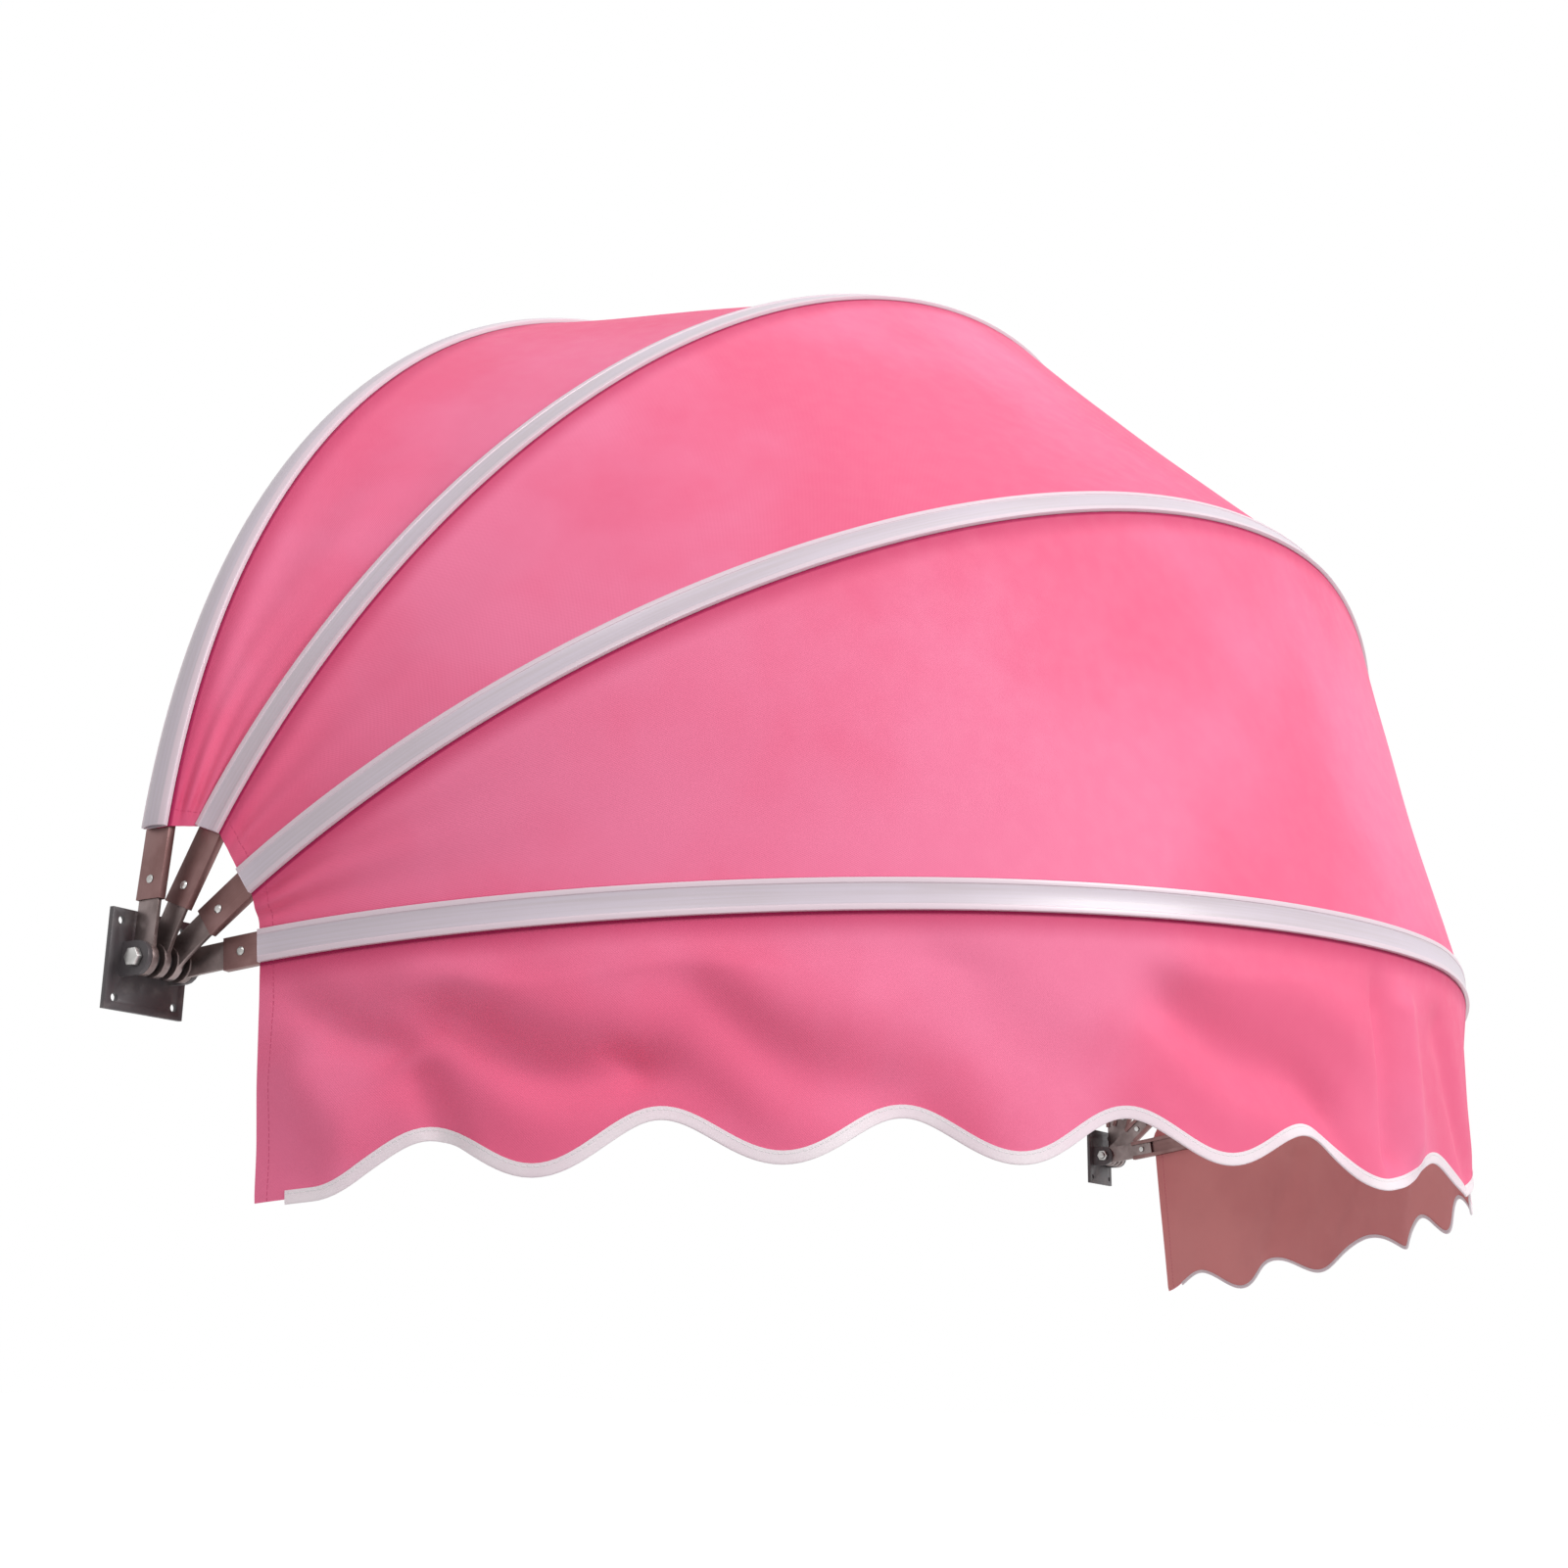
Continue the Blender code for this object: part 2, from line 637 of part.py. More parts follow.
def make_gore(name, hoop, next_hoop):
    """The taut fabric between two hoops, with its edges laid under both cover strips."""
    rows = [fabric_line(hoop, SEAM_HALF_GAP), fabric_line(hoop, FABRIC_TURN)]
    last = [fabric_line(next_hoop, -FABRIC_TURN), fabric_line(next_hoop, -SEAM_HALF_GAP)]
    for number in range(1, GORE_ROWS):
        share = number / GORE_ROWS
        dip = GORE_SAG * 4 * share * (1 - share)
        row = []
        for start, end in zip(rows[1], last[0]):
            point = start.lerp(end, share)
            towards_axis = Vector((0, AXIS.y - point.y, AXIS.z - point.z)).normalized()
            row.append(point + towards_axis * dip)
        rows.append(row)
    mesh = sheet(rows + last, FABRIC_THICKNESS)
    shade_smooth(mesh)
    node(name, mesh, PINK_FABRIC)


def refined(points, pieces):
    """The same line with each of its straight stretches divided evenly."""
    line = []
    for start, end in zip(points, points[1:]):
        line.extend(start.lerp(end, part / pieces) for part in range(pieces))
    return line + [points[-1]]


def running_lengths(points):
    lengths = [0.0]
    for start, end in zip(points, points[1:]):
        lengths.append(lengths[-1] + (end - start).length)
    return lengths


def hem_line():
    """The valance's two upper lines on the front bow, and the scallop's phase along them."""
    front = HOOPS[-1]
    top = refined(fabric_line(front, SEAM_HALF_GAP), VALANCE_COLUMNS_PER_FACET)
    turn = refined(fabric_line(front, FABRIC_TURN), VALANCE_COLUMNS_PER_FACET)
    lengths = running_lengths(turn)
    scalloped = lengths[-1] - 2 * HEM_END
    shares = [min(max((length - HEM_END) / scalloped, 0.0), 1.0) for length in lengths]
    phases = [2 * math.pi * (SCALLOP_COUNT - 1) * share for share in shares]
    return top, turn, phases


def make_valance():
    """The hanging border: scalloped at the hem, with one soft swell to each scallop."""
    top, turn, phases = hem_line()
    rows = [top, turn]
    for number in range(1, VALANCE_ROWS + 1):
        share = number / VALANCE_ROWS
        rows.append(valance_row(turn, phases, share, 0.0))
    mesh = sheet(rows, FABRIC_THICKNESS)
    shade_smooth(mesh)
    node("valance", mesh, PINK_FABRIC)


def valance_drop(phase):
    """How far the hem hangs below the bow's edge."""
    return VALANCE_DROP - SCALLOP_RISE * (1 - math.cos(phase)) / 2


def valance_row(turn, phases, share, below):
    """A row of the valance at a share of its drop, and a distance below that."""
    row = []
    last = len(turn) - 1
    for number, (point, phase) in enumerate(zip(turn, phases)):
        along = turn[min(number + 1, last)] - turn[max(number - 1, 0)]
        outward = Vector((-along.y, along.x, 0)).normalized()
        if outward.dot(point - AXIS) < 0:
            outward.negate()
        swell = VALANCE_RIPPLE * share ** 2 * (math.cos(phase) - 1) / 2
        drop = valance_drop(phase) * share + below
        row.append(point + outward * swell - Vector((0, 0, drop)))
    return row


def make_binding():
    """The white tape along the scalloped hem."""
    _, turn, phases = hem_line()
    start = FABRIC_THICKNESS / 2 + GAP
    edges = (start, start + BINDING_HEIGHT)
    mesh = sheet([valance_row(turn, phases, 1.0, below) for below in edges], BINDING_THICKNESS)
    shade_smooth(mesh)
    node("hem_binding", mesh, WHITE_TAPE)


clear_scene()
PARTS = make_collection("dome_awning")
CUTTERS = make_collection("cutters")
ALUMINIUM = material("aluminium", (0.62, 0.62, 0.64), 0.35, 1.0)
ZINC = material("zinc", (0.45, 0.45, 0.46), 0.4, 1.0)
DARK_STEEL = material("dark_steel", (0.08, 0.07, 0.08), 0.5, 0.6)
WHITE_PLASTIC = material("white_plastic", (0.72, 0.67, 0.70), 0.45)
BLACK_PLASTIC = material("black_plastic", (0.03, 0.03, 0.03), 0.5)
PINK_FABRIC = material("pink_fabric", (0.92, 0.19, 0.36), 0.75)
WHITE_TAPE = material("white_tape", (0.90, 0.78, 0.82), 0.7)

SIDE_CLIPS = (("left", CLIP_FACETS_FROM_END), ("right", HOOP_FACETS - 1 - CLIP_FACETS_FROM_END))
CLIPS = (("crown", CROWN_FACET), *SIDE_CLIPS)

for hoop_number, this_hoop in enumerate(HOOPS):
    this_pivot = hoop_hinge(this_hoop)
    make_bow(this_hoop, this_pivot)
    make_strip(this_hoop, this_pivot)
    make_rivets(this_hoop, this_pivot)
    for side_word, side_sign in SIDES:
        make_end_fitting(this_hoop, this_pivot, side_word, side_sign)
    if hoop_number == 0:
        for clip_word, clip_facet in CLIPS:
            make_clip(clip_word, clip_facet, this_pivot)
            make_clip_fasteners(clip_word, clip_facet, this_pivot)

for side_word, side_sign in SIDES:
    make_bracket(side_word, side_sign)
    make_spacers(side_word, side_sign)
    make_bolt_and_nut(side_word, side_sign)

GORE_NAMES = ("gore_wall", "gore_middle", "gore_front")
for gore_name, first_hoop, second_hoop in zip(GORE_NAMES, HOOPS, HOOPS[1:]):
    make_gore(gore_name, first_hoop, second_hoop)
make_valance()
make_binding()
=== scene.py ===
"""Looks of a folding dome awning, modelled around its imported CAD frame.

The frame's axes hold here too: X along the wall, Y into the wall and Z up, in metres, with the
origin at the back of the crown clip. Four hoops turn on one pivot line along X. Long pieces are
modelled flat, as stock lies on a bench, and then laid on their hoop. In the flat, X is the
running length, +Y the side towards the hoop above and +Z the outside.
"""

import json
import logging
import math
from collections.abc import Callable, Iterable, Sequence
from dataclasses import dataclass, field
from enum import Enum
from functools import cache

import bpy
import numpy as np
from mathutils import Matrix, Vector, noise

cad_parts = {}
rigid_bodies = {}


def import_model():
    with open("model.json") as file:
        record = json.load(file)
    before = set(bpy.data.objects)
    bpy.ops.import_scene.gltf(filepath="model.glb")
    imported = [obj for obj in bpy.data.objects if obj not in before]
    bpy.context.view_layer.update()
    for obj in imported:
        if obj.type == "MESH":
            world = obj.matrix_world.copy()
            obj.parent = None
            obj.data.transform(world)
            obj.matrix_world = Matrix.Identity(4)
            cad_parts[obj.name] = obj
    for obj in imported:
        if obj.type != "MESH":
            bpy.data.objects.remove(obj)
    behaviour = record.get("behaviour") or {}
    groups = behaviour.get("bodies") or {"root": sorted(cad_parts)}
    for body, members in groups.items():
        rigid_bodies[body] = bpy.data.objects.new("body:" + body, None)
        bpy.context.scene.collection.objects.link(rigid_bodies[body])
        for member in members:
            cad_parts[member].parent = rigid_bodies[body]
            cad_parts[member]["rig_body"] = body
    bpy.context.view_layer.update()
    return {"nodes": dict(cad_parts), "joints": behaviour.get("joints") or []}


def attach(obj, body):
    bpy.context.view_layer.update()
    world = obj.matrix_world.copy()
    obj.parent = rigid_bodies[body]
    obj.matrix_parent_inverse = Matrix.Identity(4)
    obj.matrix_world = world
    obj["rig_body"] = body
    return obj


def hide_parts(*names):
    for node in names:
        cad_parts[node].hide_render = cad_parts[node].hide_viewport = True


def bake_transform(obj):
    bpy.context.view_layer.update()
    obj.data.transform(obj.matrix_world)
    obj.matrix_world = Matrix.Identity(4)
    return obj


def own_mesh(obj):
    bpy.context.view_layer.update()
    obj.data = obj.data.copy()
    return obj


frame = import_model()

LOG = logging.getLogger("dome_awning")
Array = np.ndarray
Colour = tuple[float, float, float]
Place = tuple[float, float, float]
Limits = tuple[float, float]

# Sizes that the CAD part has too: first those of the hubs and the cloth
PIVOT = np.array(frame["joints"][0]["pos_m"], float)
HUB_HALF_WIDTH = 0.900
NESTING_STEP = 0.012
BOW_ROOT = 0.045
FABRIC_THICKNESS = 0.0008

# Distances from a bow's middle line towards the next hoop
SEAM_HALF_GAP = 0.0006
STRIP_HALF_WIDTH = 0.0125
FABRIC_TURN = 0.0135

# Depths below a hoop's outer line
FABRIC_MIDDLE = 0.0029
BOW_TOP = 0.0036
BOW_BOTTOM = 0.0101

# How much the wall bow's strip is rounded up, and the step between the gores' noise seeds
WALL_STRIP_CROWN = 0.0035
GORE_SEED_STEP = 3.7

# A point inside the dome, from which outwards is told
INSIDE = PIVOT + np.array([0.0, 0.0, 0.1])

# Fineness of the hoops' lines, and the step over which their direction is read
LINE_SAMPLES = 1600
ANGLE_STEP = 1e-4

# Within the first distance two places are one, and within the second cloth moves with a strip
TOUCH = 1e-4
HELD = 0.001

FLAT_MAP = "cloth"


class Side(Enum):
    """Which side of a cloth a material slot dresses."""

    OUTER = 0
    INNER = 1


class Slot(Enum):
    """The record's material slots."""

    FABRIC = "pink_fabric"
    TAPE = "white_tape"
    PLASTIC = "white_plastic"
    ALUMINIUM = "aluminium"
    ZINC = "zinc_steel"
    DARK_STEEL = "dark_steel"
    BLACK_PLASTIC = "black_plastic"


# Lines and hoops

def unit(vectors: Array) -> Array:
    """The same directions, each with a length of 1."""
    return vectors / np.linalg.norm(vectors, axis=-1, keepdims=True)


def turned_right(directions: Array) -> Array:
    """Flat directions, each turned right by a quarter."""
    return np.column_stack([directions[:, 1], -directions[:, 0]])


def running(points: Array) -> Array:
    """Running lengths along a line of points."""
    steps = np.linalg.norm(np.diff(points, axis=0), axis=1)
    return np.concatenate([[0.0], np.cumsum(steps)])


class Rail:
    """A flat line that is walked by its running length."""

    def __init__(self, points: Array) -> None:
        """Keep the line's points, as rows of two values, and their running lengths."""
        self.points = points
        self.lengths = running(points)

    @property
    def length(self) -> float:
        """The whole running length."""
        return float(self.lengths[-1])

    def place(self, lengths: Array) -> Array:
        """Points at running lengths, and straight on past either end.

        Args:
            lengths: Running lengths in metres.

        Returns:
            One row of two values for each length.
        """
        inside = np.clip(lengths, 0.0, self.length)
        placed = np.column_stack([
            np.interp(inside, self.lengths, self.points[:, axis]) for axis in (0, 1)
        ])
        first = self.points[1] - self.points[0]
        last = self.points[-1] - self.points[-2]
        before = np.minimum(lengths, 0.0)[:, None] * unit(first)
        after = np.maximum(lengths - self.length, 0.0)[:, None] * unit(last)
        return placed + before + after

    def inward(self, lengths: Array, reach: float = 0.003) -> Array:
        """Unit directions towards the pivot line.

        Args:
            lengths: Running lengths in metres.
            reach: How far to each side the line's direction is read.

        Returns:
            One row of two values for each length.
        """
        along = self.place(lengths + reach) - self.place(lengths - reach)
        return turned_right(unit(along))


@dataclass(frozen=True)
class Hoop:
    """A bow's outer line, a superellipse in a plane through the pivot line.

    Attributes:
        name: Its short name.
        node: The CAD node of its bow.
        body: The body that it turns with.
        place: Its number from the wall. Each hoop nests inside the one before it.
        reach: How far it stands out from the pivot line, in metres.
        angle: Its angle above level, in degrees.
        squareness: The curve's power, 2 for a plain ellipse.
        fabric_start: Distance from the pivot line to the fabric's ends, in metres.
    """

    name: str
    node: str
    body: str
    place: int
    reach: float
    angle: float
    squareness: float
    fabric_start: float

    @property
    def half_width(self) -> float:
        """Half the hoop's width at the pivot line."""
        return HUB_HALF_WIDTH - self.place * NESTING_STEP

    def angle_at(self, radius: float) -> float:
        """The curve's own angle where it is this far from the pivot line."""
        return math.asin((radius / self.reach) ** (self.squareness / 2))

    def points(self, angles: Array) -> Array:
        """Points of the outer line.

        Args:
            angles: The curve's own angles, from 0 at the left to pi at the right.

        Returns:
            Rows of across and out.
        """
        power = 2 / self.squareness
        across = -np.sign(np.cos(angles)) * np.abs(np.cos(angles)) ** power
        out = np.clip(np.sin(angles), 0.0, 1.0) ** power
        return np.column_stack([self.half_width * across, self.reach * out])

    def cover_angles(self, shares: Array) -> Array:
        """The curve's own angles at shares of the fabric's length."""
        first = self.angle_at(self.fabric_start)
        return first + shares * (math.pi - 2 * first)

    def cover_rail(self) -> Rail:
        """The line that the fabric and the cover strip follow."""
        return Rail(self.points(self.cover_angles(np.linspace(0.0, 1.0, LINE_SAMPLES + 1))))

    def bow_rail(self) -> Rail:
        """The same line with the bow's straight bare end at each side.

        Returns:
            The line that the bow follows.
        """
        root = self.angle_at(BOW_ROOT)
        ends = self.points(np.array([root, math.pi - root]))
        return Rail(np.vstack([ends[:1], self.cover_rail().points, ends[1:]]))

    def to_frame(self, local: Array) -> Array:
        """Points of the hoop's own plane, carried to the frame's axes.

        Args:
            local: Rows of across, out and towards the next hoop.

        Returns:
            Rows of X, Y and Z.
        """
        turn = math.pi - math.radians(self.angle)
        across, out, lower = local[..., 0], local[..., 1], local[..., 2]
        y = out * math.cos(turn) - lower * math.sin(turn)
        z = out * math.sin(turn) + lower * math.cos(turn)
        return np.stack([across, y, z], axis=-1) + PIVOT

    def fabric(self, shares: Array, lower: float) -> Array:
        """The fabric's middle surface over the bow.

        Args:
            shares: Shares of the fabric's length, by the curve's own angle.
            lower: Distance from the bow's middle line towards the next hoop.

        Returns:
            Rows of X, Y and Z.
        """
        angles = self.cover_angles(shares)
        along = self.points(angles + ANGLE_STEP) - self.points(angles - ANGLE_STEP)
        flat = self.points(angles) + turned_right(unit(along)) * FABRIC_MIDDLE
        return self.to_frame(np.column_stack([flat, np.full(len(shares), lower)]))


HOOPS = (
    Hoop("wall", "wall_bow", "wall_frame", 0, 0.803, 90.0, 2.23, 0.100),
    Hoop("second", "bow_2", "second_bow", 1, 0.864, 70.0, 1.81, 0.105),
    Hoop("third", "bow_3", "third_bow", 2, 0.791, 39.0, 1.87, 0.090),
    Hoop("front", "front_bow", "front_frame", 3, 0.720, 7.0, 1.78, 0.078),
)


# Modelling helpers

def deselect() -> None:
    """Leave object mode's selection empty."""
    if bpy.context.mode != "OBJECT":
        bpy.ops.object.mode_set(mode="OBJECT")
    bpy.ops.object.select_all(action="DESELECT")


def activate(piece: bpy.types.Object) -> None:
    """Select one piece alone and make it active.

    Args:
        piece: The piece to work on.
    """
    deselect()
    piece.select_set(True)
    bpy.context.view_layer.objects.active = piece


def coordinates(piece: bpy.types.Object) -> Array:
    """A piece's vertices.

    Args:
        piece: The piece to read.

    Returns:
        Rows of X, Y and Z.
    """
    vertices = piece.data.vertices
    flat = np.empty(len(vertices) * 3)
    vertices.foreach_get("co", flat)
    return flat.reshape(-1, 3)


def set_coordinates(piece: bpy.types.Object, points: Array) -> None:
    """Move a piece's vertices to new points."""
    piece.data.vertices.foreach_set("co", np.ascontiguousarray(points, float).ravel())
    piece.data.update()


def flat_grid(name: str, across: Sequence[float], along: Sequence[float]) -> bpy.types.Object:
    """A flat grid primitive whose lines are moved to chosen places.

    Args:
        name: The piece's name.
        across: Places of the lines along X.
        along: Places of the lines along Y.

    Returns:
        The new grid, facing +Z.
    """
    deselect()
    columns, rows = len(across) - 1, len(along) - 1
    bpy.ops.mesh.primitive_grid_add(x_subdivisions=columns, y_subdivisions=rows, size=2.0)
    piece = bpy.context.object
    piece.name = name
    piece.data.name = name
    # The primitive spans -1 to 1 both ways
    points = coordinates(piece)
    column = np.rint((points[:, 0] + 1) / 2 * columns).astype(int)
    row = np.rint((points[:, 1] + 1) / 2 * rows).astype(int)
    points[:, 0] = np.asarray(across)[column]
    points[:, 1] = np.asarray(along)[row]
    set_coordinates(piece, points)
    return piece


def grid_on(name: str, surface: Array) -> tuple[bpy.types.Object, Array, Array]:
    """A grid primitive laid on a grid of points.

    Args:
        name: The piece's name.
        surface: The points, by columns and rows.

    Returns:
        The piece, and the column and the row of each of its vertices.
    """
    columns, rows = surface.shape[:2]
    piece = flat_grid(name, np.arange(columns), np.arange(rows))
    column, row = np.rint(coordinates(piece)[:, :2]).astype(int).T
    set_coordinates(piece, surface[column, row])
    return piece, column, row


def edit(piece: bpy.types.Object, mode: str) -> None:
    """Choose what edit mode selects on a piece, with nothing selected yet.

    Args:
        piece: The piece to edit.
        mode: VERT, EDGE or FACE.
    """
    activate(piece)
    bpy.ops.object.mode_set(mode="EDIT")
    bpy.ops.mesh.select_mode(type=mode)
    bpy.ops.mesh.select_all(action="DESELECT")
    bpy.ops.object.mode_set(mode="OBJECT")


def select_faces(piece: bpy.types.Object, test: Callable[[Vector, Vector], bool]) -> None:
    """Select faces and go to edit mode.

    Args:
        piece: The piece to edit.
        test: Says of a face's centre and normal whether it is selected.
    """
    edit(piece, "FACE")
    for face in piece.data.polygons:
        face.select = test(face.center, face.normal)
    bpy.ops.object.mode_set(mode="EDIT")


def select_edges(piece: bpy.types.Object, test: Callable[[Vector, Vector], bool]) -> None:
    """Select edges and go to edit mode.

    Args:
        piece: The piece to edit.
        test: Says of an edge's two end points whether it is selected.
    """
    edit(piece, "EDGE")
    points = piece.data.vertices
    for edge in piece.data.edges:
        start, end = (points[number].co for number in edge.vertices)
        edge.select = test(start, end)
    bpy.ops.object.mode_set(mode="EDIT")


def edit_all(piece: bpy.types.Object) -> None:
    """Go to edit mode with the whole piece selected.

    Args:
        piece: The piece to edit.
    """
    activate(piece)
    bpy.ops.object.mode_set(mode="EDIT")
    bpy.ops.mesh.select_all(action="SELECT")


def extrude(offset: Place) -> None:
    """Extrude what is selected in edit mode by an offset."""
    bpy.ops.mesh.extrude_region_move(TRANSFORM_OT_translate={"value": offset})


def finish_edit() -> None:
    """Leave edit mode."""
    bpy.ops.object.mode_set(mode="OBJECT")


def face_outwards(piece: bpy.types.Object) -> None:
    """Turn the faces of a closed shell outwards.

    Args:
        piece: The piece to turn right.
    """
    edit_all(piece)
    bpy.ops.mesh.normals_make_consistent(inside=False)
    finish_edit()


def apply_modifier(piece: bpy.types.Object, kind: str, **settings: object) -> None:
    """Add a modifier to a piece, set it and apply it.

    Args:
        piece: The piece to change.
        kind: The modifier's type.
        **settings: The modifier's own settings.
    """
    activate(piece)
    modifier = piece.modifiers.new(kind.lower(), kind)
    for name, value in settings.items():
        setattr(modifier, name, value)
    bpy.ops.object.modifier_apply(modifier=modifier.name)


def round_edges(piece: bpy.types.Object, width: float, segments: int, degrees: float) -> None:
    """Round every edge that is sharper than an angle."""
    apply_modifier(piece, "BEVEL", width=width, segments=segments, limit_method="ANGLE",
                   angle_limit=math.radians(degrees), use_clamp_overlap=True)


def shade(piece: bpy.types.Object, degrees: float) -> None:
    """Shade a piece smooth, and keep edges sharper than an angle."""
    activate(piece)
    bpy.ops.object.shade_smooth_by_angle(angle=math.radians(degrees))


def write_map(piece: bpy.types.Object, values: Array) -> None:
    """Write one pair of map values for each vertex, as the piece's only map.

    Args:
        piece: The piece to map.
        values: Rows of two values, in metres.
    """
    mesh = piece.data
    layer = mesh.uv_layers.get(FLAT_MAP) or mesh.uv_layers.new(name=FLAT_MAP)
    corners = np.empty(len(mesh.loops), int)
    mesh.loops.foreach_get("vertex_index", corners)
    layer.data.foreach_set("uv", np.ascontiguousarray(values[corners], float).ravel())
    for other in [item for item in mesh.uv_layers if item.name != FLAT_MAP]:
        mesh.uv_layers.remove(other)


def write_attribute(piece: bpy.types.Object, name: str, values: Array) -> None:
    """Write one number for each vertex, for a material to read."""
    attribute = piece.data.attributes.new(name, "FLOAT", "POINT")
    attribute.data.foreach_set("value", np.asarray(values, np.float32))


def read_attribute(piece: bpy.types.Object, name: str) -> Array:
    """The number that each vertex carries.

    Args:
        piece: The piece to read.
        name: The attribute's name.

    Returns:
        One value for each vertex.
    """
    values = np.empty(len(piece.data.vertices), np.float32)
    piece.data.attributes[name].data.foreach_get("value", values)
    return values


def lay_on_rail(piece: bpy.types.Object, hoop: Hoop, rail: Rail) -> None:
    """Lay a flat piece round its hoop, and keep its flat X and Y as its map.

    Args:
        piece: A piece whose Z is its height over the hoop's outer line.
        hoop: The hoop to lay it on.
        rail: The line that its X runs along.
    """
    points = coordinates(piece)
    write_map(piece, points[:, :2])
    lengths = points[:, 0]
    flat = rail.place(lengths) - rail.inward(lengths) * points[:, 2:3]
    set_coordinates(piece, hoop.to_frame(np.column_stack([flat, -points[:, 1]])))


def dress(piece: bpy.types.Object, *finishes: bpy.types.Material) -> None:
    """Give a piece its materials.

    Args:
        piece: The piece to dress.
        *finishes: Its materials, in slot order.
    """
    piece.data.materials.clear()
    for finish in finishes:
        piece.data.materials.append(finish)


# Shader effects

@dataclass
class Nodes:
    """A node tree with short calls to add and join nodes."""

    tree: bpy.types.NodeTree

    def feed(self, socket: bpy.types.NodeSocket, value: object) -> None:
        """Give an input its value.

        Args:
            socket: The input.
            value: A socket to link it to, a colour as a tuple of three, or its own value.
        """
        if isinstance(value, bpy.types.NodeSocket):
            self.tree.links.new(value, socket)
        elif isinstance(value, tuple):
            socket.default_value = (*value, 1.0)
        else:
            socket.default_value = value

    def add(self, kind: str, inputs: dict[str, object] | None = None,
            **settings: object) -> bpy.types.Node:
        """Add a node.

        Args:
            kind: The node's type.
            inputs: What its inputs are fed, by name.
            **settings: Its own properties.

        Returns:
            The new node.
        """
        node = self.tree.nodes.new(kind)
        for name, value in settings.items():
            setattr(node, name, value)
        for name, value in (inputs or {}).items():
            self.feed(node.inputs[name], value)
        return node

    def math(self, operation: str, *values: object) -> bpy.types.NodeSocket:
        """A math node over sockets and numbers.

        Args:
            operation: The node's operation.
            *values: Sockets or numbers, in the order of its inputs.

        Returns:
            The result's socket.
        """
        node = self.add("ShaderNodeMath", operation=operation)
        for number, value in enumerate(values):
            self.feed(node.inputs[number], value)
        return node.outputs[0]

    def mix(self, factor: object, first: object, second: object) -> bpy.types.NodeSocket:
        """A colour mixed between two.

        Args:
            factor: The share of the second colour, a socket or a number.
            first: A colour or a socket.
            second: A colour or a socket.

        Returns:
            The mixed colour's socket.
        """
        node = self.add("ShaderNodeMix", data_type="RGBA")
        # Sockets 6 and 7 are the node's colours, and its output 2 is the mixed one
        self.feed(node.inputs[0], factor)
        self.feed(node.inputs[6], first)
        self.feed(node.inputs[7], second)
        return node.outputs[2]

    def ramp(self, value: bpy.types.NodeSocket, low: float, high: float,
             start: float = 0.0, end: float = 1.0) -> bpy.types.NodeSocket:
        """A smooth step from one value to another.

        Args:
            value: The socket that is followed.
            low: Where the step begins.
            high: Where the step ends.
            start: The result below the step.
            end: The result above the step.

        Returns:
            The result's socket.
        """
        node = self.add("ShaderNodeMapRange", {
            "Value": value, "From Min": low, "From Max": high, "To Min": start, "To Max": end,
        }, interpolation_type="SMOOTHSTEP")
        return node.outputs["Result"]

    def split(self, vector: bpy.types.NodeSocket) -> bpy.types.NodeOutputs:
        """The X, Y and Z of a vector, by name."""
        return self.add("ShaderNodeSeparateXYZ", {"Vector": vector}).outputs


